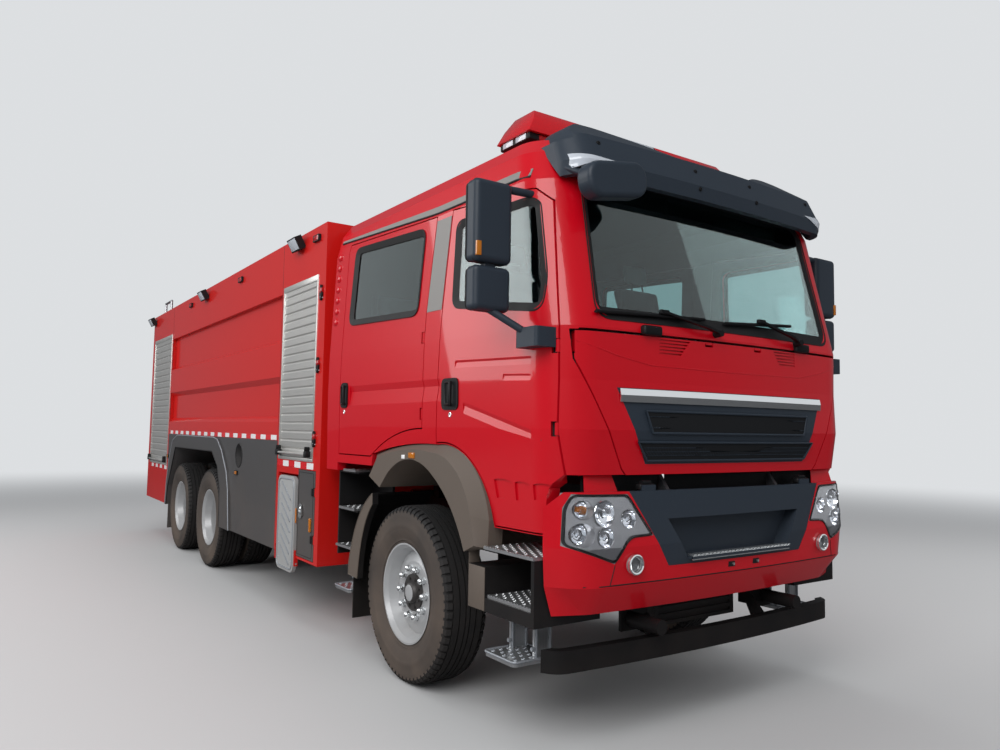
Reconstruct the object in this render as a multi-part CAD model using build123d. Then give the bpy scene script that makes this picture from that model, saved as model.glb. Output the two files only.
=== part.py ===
"""Water tanker fire truck with a crew cab, a front steering axle and a driven rear bogie.

Millimetres. +Z is up and the truck faces -Y, so its right side is at -X.
The origin is on the ground, in the middle of the overall length.
"""
from build123d import *
import math
import os

os.makedirs("parts", exist_ok=True)

# Driving dimensions
wheelbase = 4600.0
bogie_spread = 1400.0
front_overhang = 1620.0
rear_overhang = 2100.0
length = front_overhang + wheelbase + bogie_spread + rear_overhang
body_width = 2500.0
body_top = 3137.0
tyre_radius = 535.0
tyre_width = 300.0
rim_radius = 286.0
axle_height = 535.0

# Clearances
seat_gap = 0.3
panel_gap = 8.0
pin_gap = 0.3

# Places along the truck; every cab and bumper size below is aft of the front axle
front_axle = -length / 2 + front_overhang
rear_axles = (front_axle + wheelbase, front_axle + wheelbase + bogie_spread)
rear_end = length / 2


def aft(y):
    """Row place of a point that lies y aft of the front axle."""
    return front_axle + y


def block(x0, x1, y0, y1, z0, z1):
    """Box between two corners."""
    middle = Pos((x0 + x1) / 2, (y0 + y1) / 2, (z0 + z1) / 2)
    return middle * Box(x1 - x0, y1 - y0, z1 - z0)


def rod(radius, start, end):
    """Round bar between two points."""
    path = Vector(*end) - Vector(*start)
    return extrude(Plane(origin=start, z_dir=path) * Circle(radius), path.length)


def outline(start, *steps):
    """Face from lines and arcs; a step is a point, or a pair of the point passed and the end."""
    edges = []
    here = start
    for step in steps:
        if isinstance(step[0], tuple):
            passed, end = step
            edges.append(ThreePointArc(here, passed, end))
        else:
            end = step
            edges.append(Line(here, end))
        here = end
    if here != start:
        edges.append(Line(here, start))
    return make_face(edges)


def side_cut(face, x0, x1):
    """Prism of a side-view face, drawn as (y aft of the front axle, z)."""
    return extrude(Pos(x0, front_axle, 0) * (Plane.YZ * face), x1 - x0, dir=(1, 0, 0))


def front_cut(face, y0, y1):
    """Prism of a front-view face, drawn as (x, z), between two places aft of the front axle."""
    return extrude(Pos(0, aft(y0), 0) * (Plane.XZ * face), y1 - y0, dir=(0, 1, 0))


def plan_cut(face, z0, z1):
    """Prism of a plan face, drawn in row x and y."""
    return extrude(Pos(0, 0, z0) * face, z1 - z0, dir=(0, 0, 1))


def both(*shapes):
    """The shapes and their mirror images on the other side of the truck."""
    found = list(shapes)
    return found + [mirror(shape, about=Plane.YZ) for shape in found]


def joined(first, *rest):
    """One solid from shapes that meet."""
    whole = first
    for shape in rest:
        whole = whole + shape
    return whole


def save(name, *shapes):
    """Write one sub-part, with every solid of the shapes given."""
    solids = []
    for shape in shapes:
        solids.extend(shape.solids())
    export_step(Compound(children=solids), f"parts/{name}.step")


def nose_plan(front, half_width, rear_half, corner, back, bow):
    """Plan of a cab or bumper: a bowed front, round corners and nearly straight sides."""
    middle_x = half_width - corner
    middle_y = front + bow - math.sqrt((bow - corner) ** 2 - middle_x ** 2)
    share = bow / (bow - corner)
    front_x = middle_x * share
    front_y = front + bow + (middle_y - front - bow) * share
    reach = math.hypot(rear_half - middle_x, back - middle_y)
    turn = math.atan2(back - middle_y, rear_half - middle_x) - math.acos(corner / reach)
    half_way = (turn + math.atan2(front_y - middle_y, front_x - middle_x)) / 2

    def on_corner(angle):
        return middle_x + corner * math.cos(angle), middle_y + corner * math.sin(angle)

    side_x, side_y = on_corner(turn)
    arc_x, arc_y = on_corner(half_way)
    return outline((-rear_half, back), (-side_x, side_y), ((-arc_x, arc_y), (-front_x, front_y)),
                   ((0, front), (front_x, front_y)), ((arc_x, arc_y), (side_x, side_y)),
                   (rear_half, back))


# Chassis
rail_half = 425.0
rail_web = 8.0
rail_flange = 80.0
rail_top = 1020.0
rail_bottom = 720.0
rail_front = -1340.0
rail_back = rear_end - front_axle - 90.0
beam_depth = 60.0
beam_half = 780.0
beam_low = 860.0
beam_high = 940.0
tilt_pivot_y = -1500.0
tilt_pivot_z = 1200.0
tilt_pin = 20.0
tilt_eye = 36.0
tower_in = 400.0
cab_lug_in = 440.0
lug_thick = 24.0
spring_x = 430.0
spring_width = 80.0
leaf_thick = 16.0
rear_leaf_low = 480.0
rear_leaves = 5

# Front axle and steering
kingpin_x = 930.0
kingpin_radius = 25.0
boss_radius = 45.0
boss_half = 45.0
ear_gap = 5.0
ear_thick = 34.0
front_wheel_x = 1045.0
spindle_radius = 40.0
drum_radius = 205.0
arm_back = 330.0
arm_in = 90.0
tie_rod_radius = 18.0

# Rear wheels
rear_wheel_x = 917.5
twin_half = 167.5
rear_tube = 70.0
shaft_height = 715.0

# Cab
cab_back = 1150.0
cab_bow = 11300.0
cab_floor = 1520.0
floor_thick = 40.0
side_wall = 70.0
front_wall = 60.0
roof_wall = 50.0
cowl_depth = 140.0
glass_thick = 6.0
glass_inset = 14.0
arch_lift = 8.0


def chassis():
    """Ladder frame with the bumper beam and the two cab tilt towers."""
    web = block(rail_half - rail_web, rail_half, aft(rail_front), aft(rail_back), rail_bottom, rail_top)
    parts = [web]
    for low in (rail_bottom, rail_top - rail_web):
        parts.append(block(rail_half - rail_flange, rail_half - rail_web,
                           aft(rail_front), aft(rail_back), low, low + rail_web))
    rails = both(*parts)
    cross_width = rail_half - rail_web
    beams = []
    for y in (1250.0, 2650.0, wheelbase - 620.0, wheelbase + bogie_spread + 620.0, rail_back - 100.0):
        beams.append(block(-cross_width, cross_width, aft(y), aft(y) + 90.0, rail_bottom + 70, rail_top - 40))
    rest = block(tower_in - 30, rail_half, aft(900), aft(980), rail_top - 20, cab_floor - floor_thick - seat_gap)
    rails.extend(both(rest))
    bumper_beam = block(-beam_half, beam_half, aft(rail_front) - beam_depth, aft(rail_front),
                        beam_low, beam_high)
    tower_outline = outline((rail_front + 60, rail_bottom + 20), (rail_front + 60, rail_top),
                            (tilt_pivot_y + 30, tilt_pivot_z + 30), (tilt_pivot_y, tilt_pivot_z + tilt_eye),
                            ((tilt_pivot_y - tilt_eye, tilt_pivot_z), (tilt_pivot_y, tilt_pivot_z - tilt_eye)),
                            (rail_front - beam_depth + 15, beam_high), (rail_front, rail_bottom + 20))
    tower = side_cut(tower_outline, tower_in, rail_half)
    tower = tower - rod(tilt_pin + pin_gap, (tower_in - 5, aft(tilt_pivot_y), tilt_pivot_z),
                        (rail_half + 5, aft(tilt_pivot_y), tilt_pivot_z))
    hangers = []
    for y in (-900.0, 880.0):
        hangers.append(block(spring_x - 25, rail_half, aft(y) - 60, aft(y) + 60, rail_bottom - 60, rail_bottom))
    saddle_y = aft(wheelbase + bogie_spread / 2)
    pack_top = rear_leaf_low + rear_leaves * leaf_thick
    trunnion = block(rail_half, rail_half + 85, saddle_y - 130, saddle_y + 130, pack_top + 8, rail_bottom + 90)
    trunnion = trunnion + block(rail_half, rail_half + 85, saddle_y - 45, saddle_y + 45,
                                pack_top + seat_gap, pack_top + 9)
    return joined(*rails, *beams, bumper_beam, *both(tower, *hangers, trunnion))


def leaf_pack(x, middle_y, half_length, low, rise, leaves):
    """Stack of leaves, longest on top, fused as the clamped pack; arched down in the middle."""
    stack = []
    for number in range(leaves):
        half = half_length * (1 - 0.17 * (leaves - 1 - number))
        sag = rise * (half / half_length) ** 2
        foot = low + number * leaf_thick
        leaf = outline((middle_y - half, foot + sag), ((middle_y, foot), (middle_y + half, foot + sag)),
                       (middle_y + half, foot + sag + leaf_thick),
                       ((middle_y, foot + leaf_thick), (middle_y - half, foot + sag + leaf_thick)))
        stack.append(side_cut(leaf, x - spring_width / 2, x + spring_width / 2))
    return joined(*stack)


def front_axle_beam():
    """Dropped steering beam between its kingpin eyes, with its two leaf springs."""
    drop = 110.0
    thick = 90.0
    end_x = kingpin_x - boss_radius + 10
    top = axle_height + thick / 2 - 5
    beam_face = outline((-end_x, top), (-760, top), (-620, top - drop), (620, top - drop), (760, top),
                        (end_x, top), (end_x, top - thick + 10), (740, top - thick),
                        (600, top - drop - thick), (-600, top - drop - thick), (-740, top - thick),
                        (-end_x, top - thick + 10))
    beam = front_cut(beam_face, -50, 50)
    for face in (-50.0, 50.0):
        groove = front_cut(outline((-560, top - drop - 20), (560, top - drop - 20),
                                   (560, top - drop - thick + 20), (-560, top - drop - thick + 20)),
                           face - 18, face + 18)
        beam = beam - groove
    eye = rod(boss_radius, (kingpin_x, aft(0), axle_height - boss_half),
              (kingpin_x, aft(0), axle_height + boss_half))
    beam = joined(beam, *both(eye))
    bore = rod(kingpin_radius + pin_gap, (kingpin_x, aft(0), axle_height - 100),
               (kingpin_x, aft(0), axle_height + 100))
    for hole in both(bore):
        beam = beam - hole
    spring_low = top - drop
    rise = 660 - leaf_thick - seat_gap - spring_low - 3 * leaf_thick
    pack = leaf_pack(spring_x, 0, 880, spring_low, rise, 4)
    clamp = block(spring_x - 48, spring_x + 48, aft(-66), aft(66), spring_low - 20, spring_low + 80)
    return joined(beam, *both(pack, clamp))


def rear_axle_set():
    """Two driven axle housings under one pair of long springs, with the propeller shafts."""
    parts = []
    for number, y in enumerate(rear_axles):
        tube = rod(rear_tube, (-700, y, axle_height), (700, y, axle_height))
        stub = rod(52, (-980, y, axle_height), (980, y, axle_height))
        drop_head = Pos(0, y, axle_height) * Rot(0, 90, 0) * Cylinder(215, 150)
        nose = rod(95, (0, y - 330, axle_height + 60), (0, y, axle_height + 30))
        tail = rod(70, (0, y, axle_height + 30), (0, y + 290, axle_height + 60))
        parts.extend([tube, stub, drop_head, nose])
        if number == 0:
            parts.append(tail)
            parts.append(rod(42, (0, y + 280, axle_height + 60), (0, rear_axles[1] - 320, axle_height + 60)))
    flange_back = aft(gearbox_back) + 40
    parts.append(rod(62, (0, aft(gearbox_back) + seat_gap, shaft_height), (0, flange_back, shaft_height)))
    parts.append(rod(50, (0, flange_back - 20, shaft_height), (0, rear_axles[0] - 325, axle_height + 60)))
    middle = wheelbase + bogie_spread / 2
    pack = leaf_pack(spring_x + 40, middle, bogie_spread / 2 + 60, rear_leaf_low, 72, rear_leaves)
    pads = [block(spring_x, spring_x + 80, y - 50, y + 50, 570, 630) for y in rear_axles]
    return joined(*parts, *both(pack, *pads))


engine_front = -1050.0
engine_back = 260.0
gearbox_back = 1120.0


def engine():
    """Engine and gearbox as one plain block on its four feet."""
    mass = block(-300, 300, aft(engine_front), aft(engine_back), 620, 1220)
    gearbox = block(-190, 190, aft(engine_back), aft(gearbox_back), 640, 1060)
    feet = [block(300, rail_half - rail_web - seat_gap, aft(y), aft(y) + 110, 790, 850)
            for y in (engine_front + 150, engine_back - 200)]
    return joined(mass, gearbox, *both(*feet))


def radiator():
    """Finned cooling pack between the frame rails, behind the bumper."""
    core = block(-330, 330, aft(-1285), aft(-1170), 500, 1160)
    fins = 16
    pitch = 640.0 / fins
    for number in range(fins):
        z = 510 + pitch * (number + 0.5)
        core = core - block(-300, 300, aft(-1285), aft(-1275), z - pitch / 4, z + pitch / 4)
    ears = [block(330, rail_half - rail_web - seat_gap, aft(-1260), aft(-1200), z, z + 50) for z in (760, 930)]
    return joined(core, *both(*ears))


# Bumper: plan sections as (height, front, half width, corner)
bumper_back = -1380.0
bumper_wall = 30.0
bumper_sections = (
    (672.0, -1490.0, 1120.0, 230.0),
    (815.0, -1592.0, 1165.0, 260.0),
    (1000.0, -1606.0, 1175.0, 260.0),
    (1262.0, -1578.0, 1175.0, 250.0),
)
lamp_outline = ((-787, 1250), (-640, 1046), (-792, 1040), (-882, 922), (-1129, 1013), (-1118, 1190), (-1087, 1255))
panel_outline = ((-778, 1262), (-538, 890), (538, 890), (778, 1262))
recess_outline = ((-535, 1122), (-405, 922), (405, 922), (535, 1122))
fog_x = 768.0
fog_z = 915.0
fog_radius = 46.0


def bumper_loft(inset):
    """Bumper form between its plan sections, inset on every side but the back."""
    faces = [Pos(0, 0, z) * nose_plan(aft(front) + inset, half - inset, half - inset, corner - inset,
                                      aft(bumper_back) + inset, cab_bow)
             for z, front, half, corner in bumper_sections]
    return loft(faces, ruled=True)


def polygon(points):
    """Face with straight sides."""
    return outline(points[0], *points[1:])


def rounded(face, radius, chosen):
    """Face with the corners that are chosen by their two coordinates rounded."""
    return fillet([corner for corner in face.vertices() if chosen(corner.X, corner.Y)], radius)


def inset_polygon(points, amount):
    """Face with straight sides, drawn in by an amount."""
    return offset(polygon(points), amount=-amount, kind=Kind.INTERSECTION)


def bumper():
    """Painted bumper shell with its lamp, fog lamp and grille openings, on two ribs."""
    shell = bumper_loft(0) - bumper_loft(bumper_wall)
    shell = shell - block(-2000, 2000, aft(bumper_back) - 0.1, aft(bumper_back) + 100, 600, 1300)
    corner_cut = side_cut(outline((bumper_back - 1, 1185), (-1458, 1264), (-1300, 1300), (-1300, 1185)), -1300, 1300)
    shell = shell - corner_cut
    shell = shell - front_cut(polygon(panel_outline), -1700, -1400)
    lamp = front_cut(polygon(lamp_outline), -1700, -1380)
    fog = rod(fog_radius, (-fog_x, aft(-1700), fog_z), (-fog_x, aft(-1450), fog_z))
    for cut in both(lamp, fog):
        shell = shell - cut
    beam_front = aft(rail_front) - beam_depth - seat_gap
    rib_zone = block(640, 660, aft(-1620), beam_front, 730, 880)
    rib = rib_zone & bumper_loft(bumper_wall - 5)
    return joined(shell, *both(rib))


def bumper_panel():
    """Dark centre panel with its tray-like opening, tread edge and two top hinge ears."""
    skin_front = bumper_loft(2)
    form = (skin_front - bumper_loft(bumper_wall)) & front_cut(inset_polygon(panel_outline, seat_gap), -1700, -1400)
    tray = skin_front & front_cut(offset(polygon(recess_outline), amount=14, kind=Kind.INTERSECTION), -1700, -1496)
    form = form + tray
    form = form - front_cut(polygon(recess_outline), -1700, -1508)
    ears = [block(600, 690, aft(-1556), aft(-1535), 1250, 1290)]
    tread = block(-400, 400, aft(-front_overhang), aft(-1500), 915, 929)
    panel = joined(form, tread, *both(*ears))
    for pocket in both(block(cab_lug_in - 7, cab_lug_in + lug_thick + 7, aft(-1552), aft(-1490), 1228, 1275)):
        panel = panel - pocket
    return panel


# Lamp bowls as (x, z, radius)
lamp_bowls = ((-1045, 1180, 42), (-935, 1160, 66), (-1055, 1065, 50), (-935, 1050, 50), (-790, 1130, 48))


def headlamps():
    """Cluster of five round bowls on each side, and the fog lamps below."""
    skin = bumper_loft(3)
    body = skin & front_cut(inset_polygon(lamp_outline, seat_gap), -1700, -1400)
    for x, z, radius in lamp_bowls:
        surface = -1604 + 0.5 * (x / 1000.0) ** 2 * 88 + (60 if x < -1000 else 0)
        cone = Pos(x, aft(surface) - 60, z) * Rot(-90, 0, 0) * Cone(radius * 1.3, radius * 0.35, 190,
                                                                   align=(Align.CENTER, Align.CENTER, Align.MIN))
        body = body - cone
    fog_front = -1585.0
    fog = rod(fog_radius - seat_gap, (-fog_x, aft(fog_front), fog_z), (-fog_x, aft(fog_front) + 80, fog_z))
    fog = fog - rod(fog_radius - 12, (-fog_x, aft(fog_front) - 5, fog_z), (-fog_x, aft(fog_front) + 22, fog_z))
    return both(body, fog)


# Underrun bars
underrun_front = -1462.0
underrun_half = 1140.0
underrun_low = 401.0
underrun_high = 508.0
tow_x = 554.0
tow_z = 583.0
tow_radius = 38.0
rear_bar_low = 470.0
rear_bar_high = 590.0


def underrun_bars():
    """Bowed bar under the bumper with its arms and tow pins, and the straight rear bar."""
    bar = plan_cut(nose_plan(aft(underrun_front), underrun_half, underrun_half, 120, aft(-1330), cab_bow)
                   - nose_plan(aft(underrun_front) + 55, underrun_half - 55, underrun_half - 55, 65,
                               aft(-1300), cab_bow), underrun_low, underrun_high)
    arm_low = rail_half + seat_gap
    arm = side_cut(outline((-1300, 960), (-1200, 960), (-1200, 740), (-1370, underrun_low + 10),
                           (-1425, underrun_low + 10), (-1425, underrun_high - 5), (-1330, 600)),
                   arm_low, arm_low + 20)
    bracket = block(arm_low + 20, tow_x + 62, aft(-1330), aft(-1310), tow_z - 62, tow_z + 62)
    web = block(arm_low + 18, arm_low + 32, aft(-1330), aft(-1230), tow_z - 45, tow_z + 45)
    pin = rod(tow_radius, (tow_x, aft(-1556), tow_z), (tow_x, aft(-1340), tow_z))
    pin = pin + rod(tow_radius - 4, (tow_x, aft(-1341), tow_z), (tow_x, aft(-1310), tow_z))
    front = joined(bar, *both(arm, bracket, web, pin))
    back_y = rear_end
    beam = block(-1150, 1150, back_y - 68, back_y, rear_bar_low, rear_bar_high)
    drop = block(rail_half + seat_gap, rail_half + 24, back_y - 260, back_y - 10, rear_bar_low, rail_top - 80)
    return [front, joined(beam, *both(drop))]


# Cab plan sections as (height, front, front half width, rear half width, corner)
cab_sections = (
    (1045.0, -1535.0, 1150.0, 1238.0, 230.0),
    (1345.0, -1548.0, 1170.0, 1243.0, 240.0),
    (1560.0, -1576.0, 1186.0, 1247.0, 250.0),
    (1800.0, -1562.0, 1192.0, 1250.0, 250.0),
    (2060.0, -1566.0, 1190.0, 1246.0, 250.0),
    (2830.0, -1385.0, 1162.0, 1208.0, 230.0),
    (3000.0, -1300.0, 1125.0, 1165.0, 210.0),
    (3095.0, -1215.0, 1060.0, 1095.0, 190.0),
    (3130.0, -1120.0, 960.0, 990.0, 170.0),
)


def cab_loft(front_in, side_in, top_in, low=0, high=None):
    """Cab form between its plan sections, drawn in at the front, the sides and the top."""
    chosen = cab_sections[low:high]
    faces = []
    for z, front, half, rear_half, corner in chosen:
        corner_in = min(front_in, side_in, corner - 40)
        faces.append(Pos(0, 0, z - (top_in if z > 2900 else 0)) * nose_plan(
            aft(front) + front_in, half - side_in, rear_half - side_in, corner - corner_in,
            aft(cab_back) - max(side_in, 0), cab_bow))
    return loft(faces, ruled=True)


# Cab openings and the pieces cut from one form
arch_points = ((409, 1380), ((-20, 1450), (-420, 1462)), ((-775, 1360), (-945, 1080)))
cab_profile = outline((1200, 1245), (965, 1245), (965, 1300), (430, 1300), *arch_points, (-958, 1040),
                      (-1340, 1040), (-1362, 1272), (-1448, 1342), (-1700, 1342), (-1700, 3300), (1200, 3300))
door_outlines = {
    "front": outline((-499, 2826), (-441, 2234), (-408, 1552), (-405, 1474),
                     ((-781, 1368), (-953, 1083)), (-966, 1057), (-1345, 1057), (-1370, 1275),
                     (-1440, 1342), (-1432, 1534), (-1432, 2060), (-1318, 2705), (-1240, 2775)),
    "rear": outline((930, 2888), (938, 1366), (446, 1366), ((150, 1497), (-236, 1557)),
                    (-249, 2235), (-314, 2825)),
}
window_outlines = {
    "front": rounded(outline((-552, 2745), (-552, 2250), (-1345, 2140), (-1352, 2300), (-1268, 2700),
                             (-1225, 2728)), 60, lambda y, z: y > -600 or z < 2200),
    "rear": rounded(outline((800, 2836), (835, 2287), (-147, 2250), (-190, 2780)), 70, lambda y, z: True),
}
# Scoops of the front door, and steps pressed in under a line as (start, end, depth, fade)
door_scoops = (
    outline((-1398, 1287), ((-1345, 1296), (-1285, 1287)), (-1290, 1212), (-1352, 1232)),
    outline((-1262, 1283), ((-1205, 1296), (-1140, 1289)), (-1146, 1200), (-1212, 1208)),
    outline((-1118, 1287), ((-1040, 1301), (-962, 1293)), (-984, 1200), (-1052, 1203)),
)
scoop_depth = 9.0
pressed_steps = (
    ((-450, 1850), (770, 1850), 12.0, 175.0),
    ((-690, 1712), (-1290, 1565), 7.0, 110.0),
    ((-600, 1942), (-1290, 1921), 6.0, 60.0),
    ((-1060, 1843), (-1290, 1833), 6.0, 50.0),
)
screen_face = rounded(polygon(((-958, 2112), (958, 2112), (950, 2300), (925, 2800), (900, 2900), (-900, 2900),
                               (-925, 2800), (-950, 2300))), 90, lambda x, z: z < 2200)
flap_top = 2034.0
flap_points = ((-1090, flap_top), (-1075, 1900), (-800, 1372), (-770, 1340), (770, 1340), (800, 1372),
               (1075, 1900), (1090, flap_top))
grille_points = ((-845, 1768), (-655, 1392), (655, 1392), (845, 1768))
# Mesh windows of the grille as (half width at the top, half width at the bottom, top, bottom)
grille_windows = ((668, 628, 1652, 1551), (722, 652, 1497, 1412))
flap_thick = 50.0
flap_axis = (-1556.0, 2028.0)
louvre_count = 5
louvre_pitch = 17.0
rib_from = 1050.0
rib_to = 1118.0
rib_half = 42.0
# Door hinge axes as (x, y aft), eye and pin radii, and the heights of the two hinges
door_hinges = {"front": (-1128.0, -1425.0, 13.0, 6.0, (1560.0, 1960.0)),
               "rear": (-1205.0, -232.0, 9.0, 4.0, (1640.0, 2100.0))}
hinge_height = 60.0
hinge_tongue = {"front": (-1080.0, -1462.0), "rear": (-1185.0, -290.0)}


def cab_side(y, z):
    """Half width of the cab behind its front corner, y aft of the front axle."""
    for lower, upper in zip(cab_sections, cab_sections[1:]):
        if lower[0] <= z <= upper[0]:
            share = (z - lower[0]) / (upper[0] - lower[0])
            front, half, rear_half, corner = (a + (b - a) * share for a, b in zip(lower[1:], upper[1:]))
    start = front + corner + 25
    return half + (rear_half - half) * max(0.0, y - start) / (cab_back - start)


def pressed_step(start, end, depth, fade):
    """Wedge cut from the right side under a line, deepest near the line and fading out below it."""
    sections = []
    for y, z in (start, end):
        x = -cab_side(y, z)
        face = polygon(((x - 3, z + 2), (x + depth, z - 0.28 * fade), (x - 3, z - fade)))
        sections.append(Pos(0, aft(y), 0) * (Plane.XZ * face))
    return loft(sections, ruled=True)


def pillar_ribs():
    """Air ribs on the cab's rear corner behind the crew door."""
    ribs = []
    for number in range(7):
        z = 2330 + 82 * number
        x = -cab_side(rib_from, z)
        ribs.append(Pos(x + 8, aft((rib_from + rib_to) / 2), z) * scale(Sphere(1), by=(24, rib_half, 30)))
    return ribs


def upright_hinge(x, y, eye, pin, z, foot):
    """Fixed eye with its pin and a tongue to the pillar, and the pocket with bores that the door gets."""
    low, high = z - hinge_height / 2, z + hinge_height / 2
    fixed = rod(eye, (x, y, low), (x, y, high))
    reach = math.hypot(foot[0] - x, foot[1] - y)
    turn = math.degrees(math.atan2(foot[1] - y, foot[0] - x))
    tongue = Pos(x, y, z) * Rot(0, 0, turn) * Pos(reach / 2, 0, 0) * Box(reach, 1.3 * eye, hinge_height)
    fixed = fixed + tongue + rod(pin, (x, y, low - 20), (x, y, high + 20))
    pocket = rod(2.4 * eye, (x, y, low - 6), (x, y, high + 6))
    pocket = pocket + rod(pin + pin_gap, (x, y, low - 26), (x, y, high + 26))
    return fixed, pocket


def tilt_lug():
    """Lug under the cab floor, with the pin that turns in the tower's eye."""
    lug_face = outline((-1435, cab_floor - 10), (-1290, cab_floor - 10), (tilt_pivot_y + 34, tilt_pivot_z - 12),
                       ((tilt_pivot_y, tilt_pivot_z - tilt_eye), (tilt_pivot_y - 34, tilt_pivot_z + 12)),
                       (tilt_pivot_y - 24, tilt_pivot_z + 27), (tilt_pivot_y + 62, tilt_pivot_z + 140))
    lug = side_cut(lug_face, cab_lug_in, cab_lug_in + lug_thick)
    return lug + rod(tilt_pin, (tower_in - 3, aft(tilt_pivot_y), tilt_pivot_z),
                     (cab_lug_in + 5, aft(tilt_pivot_y), tilt_pivot_z))


def cab_pieces():
    """Cab shell, doors, panes, service flap, grille and windscreen."""
    outer = cab_loft(0, 0, 0)
    inner = cab_loft(front_wall, side_wall, roof_wall)
    door_limit = cab_loft(front_wall + panel_gap, side_wall + panel_gap, roof_wall)
    walls = outer - inner
    for cut in both(*[pressed_step(*step) for step in pressed_steps]):
        walls = walls - cut
    scoop_layer = outer - cab_loft(scoop_depth, scoop_depth, 0)
    profile = side_cut(cab_profile, -1500, 1500)
    right = (-1400.0, -700.0)
    shell = walls & profile
    floor = inner & block(-1400, 1400, aft(-1700), aft(cab_back), cab_floor - floor_thick, cab_floor)
    cowl = inner & block(-1400, 1400, aft(-1700), aft(-1360), cab_floor - 5, flap_top + 10)
    shell = shell + floor + cowl

    doors = {}
    fixed_eyes = []
    for place, face in door_outlines.items():
        door = walls & side_cut(face, *right)
        door = door - side_cut(window_outlines[place], *right)
        if place == "front":
            door = door - block(-1085, -1000, aft(-1470), aft(-1398), 1300, 2300)
            for scoop in door_scoops:
                door = door - (scoop_layer & side_cut(scoop, *right))
        opening = side_cut(offset(face, amount=panel_gap, kind=Kind.INTERSECTION), *right) - door_limit
        for cut in both(opening):
            shell = shell - cut
        x, y, eye, pin, heights = door_hinges[place]
        foot = hinge_tongue[place]
        for z in heights:
            fixed, pocket = upright_hinge(x, aft(y), eye, pin, z, (foot[0], aft(foot[1])))
            door = door - pocket
            fixed_eyes.append(fixed)
        doors[place] = door

    flap_back = cab_loft(flap_thick, side_wall, roof_wall, 0, 5)
    flap_limit = cab_loft(front_wall + panel_gap, side_wall, roof_wall, 0, 5)
    flap_body = (cab_loft(0, 0, 0, 0, 5) - flap_back) & front_cut(polygon(flap_points), -1700, -1300)
    door_clear = side_cut(offset(door_outlines["front"], amount=panel_gap, kind=Kind.INTERSECTION), *right)
    hinge_x, hinge_y, eye, _, heights = door_hinges["front"]
    for z in heights:
        high = flap_top + 5 if z == heights[-1] else z + hinge_height / 2 + 6
        door_clear = door_clear + block(hinge_x - 40, hinge_x + 70, aft(hinge_y) - 60, aft(hinge_y),
                                        z - hinge_height / 2 - 6, high)
    edge_relief = block(995, 1100, aft(-1482), aft(-1425), 1745, 1935)
    for cut in both(door_clear, edge_relief):
        flap_body = flap_body - cut
    grille = flap_body & front_cut(inset_polygon(grille_points, seat_gap), -1700, -1300)
    flap = flap_body - front_cut(polygon(grille_points), -1700, -1300)
    flap_hole = front_cut(offset(polygon(flap_points), amount=panel_gap, kind=Kind.INTERSECTION), -1700, -1300)
    flap_hole = flap_hole + block(-1060, 1060, aft(-1700), aft(-1300), flap_top - 20, flap_top + 14)
    shell = shell - (flap_hole - flap_limit)
    shell = shell - front_cut(screen_face, -1700, -1150)
    for fixed in both(*fixed_eyes):
        shell = shell + fixed
    for lug in both(tilt_lug()):
        shell = shell + lug
    for rib in both(*pillar_ribs()):
        shell = shell + (rib - inner)
    for number in range(louvre_count):
        z = 2026 - number * louvre_pitch
        x = 352 + 14 * number
        slit = polygon(((-x, z), (-565, z), (-572, z - 8), (-x - 6, z - 8)))
        for cut in both(front_cut(slit, -1700, -1546)):
            flap = flap - cut
    for x in (-230.0, 180.0):
        flap_y, flap_z = aft(flap_axis[0]), flap_axis[1]
        flap = flap - rod(20, (x - 6, flap_y, flap_z), (x + 56, flap_y, flap_z))
        flap = flap - rod(4 + pin_gap, (x - 20, flap_y, flap_z), (x + 70, flap_y, flap_z))
        arm = block(x, x + 50, flap_y - 7, flap_y + 70, flap_z - 7, flap_z + 7)
        arm = arm + block(x, x + 50, flap_y + 40, flap_y + 75, flap_z - 7, flap_top + 30)
        flap = flap - block(x - 6, x + 56, flap_y - 5, flap_y + 90, flap_z - 14, flap_z + 30)
        shell = shell + arm + rod(4, (x - 15, flap_y, flap_z), (x + 65, flap_y, flap_z))

    for top_half, low_half, top, low in grille_windows:
        window = front_cut(polygon(((-top_half, top), (-low_half, low), (low_half, low), (top_half, top))),
                           -1700, -1535)
        bars = []
        count = 3
        for number in range(1, count + 1):
            z = low + (top - low) * number / (count + 1)
            bars.append(block(-top_half - 30, top_half + 30, aft(-1560), aft(-1530), z - 6, z + 6))
        for bar in bars:
            window = window - bar
        grille = grille - window

    layer = cab_loft(glass_inset, glass_inset, 0, 4, 7) - cab_loft(
        glass_inset + glass_thick, glass_inset + glass_thick, 0, 4, 7)
    screen = layer & front_cut(offset(screen_face, amount=-seat_gap, kind=Kind.INTERSECTION), -1700, -1150)
    panes = {}
    for place, face in window_outlines.items():
        pane = offset(face, amount=-seat_gap, kind=Kind.INTERSECTION)
        panes[place] = layer & side_cut(pane, *right)
    return shell, doors, panes, flap, grille, screen


def skin():
    """Cab form grown by the seat gap, cut from what sits on the cab."""
    return cab_loft(-seat_gap, -seat_gap, -seat_gap)


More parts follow.
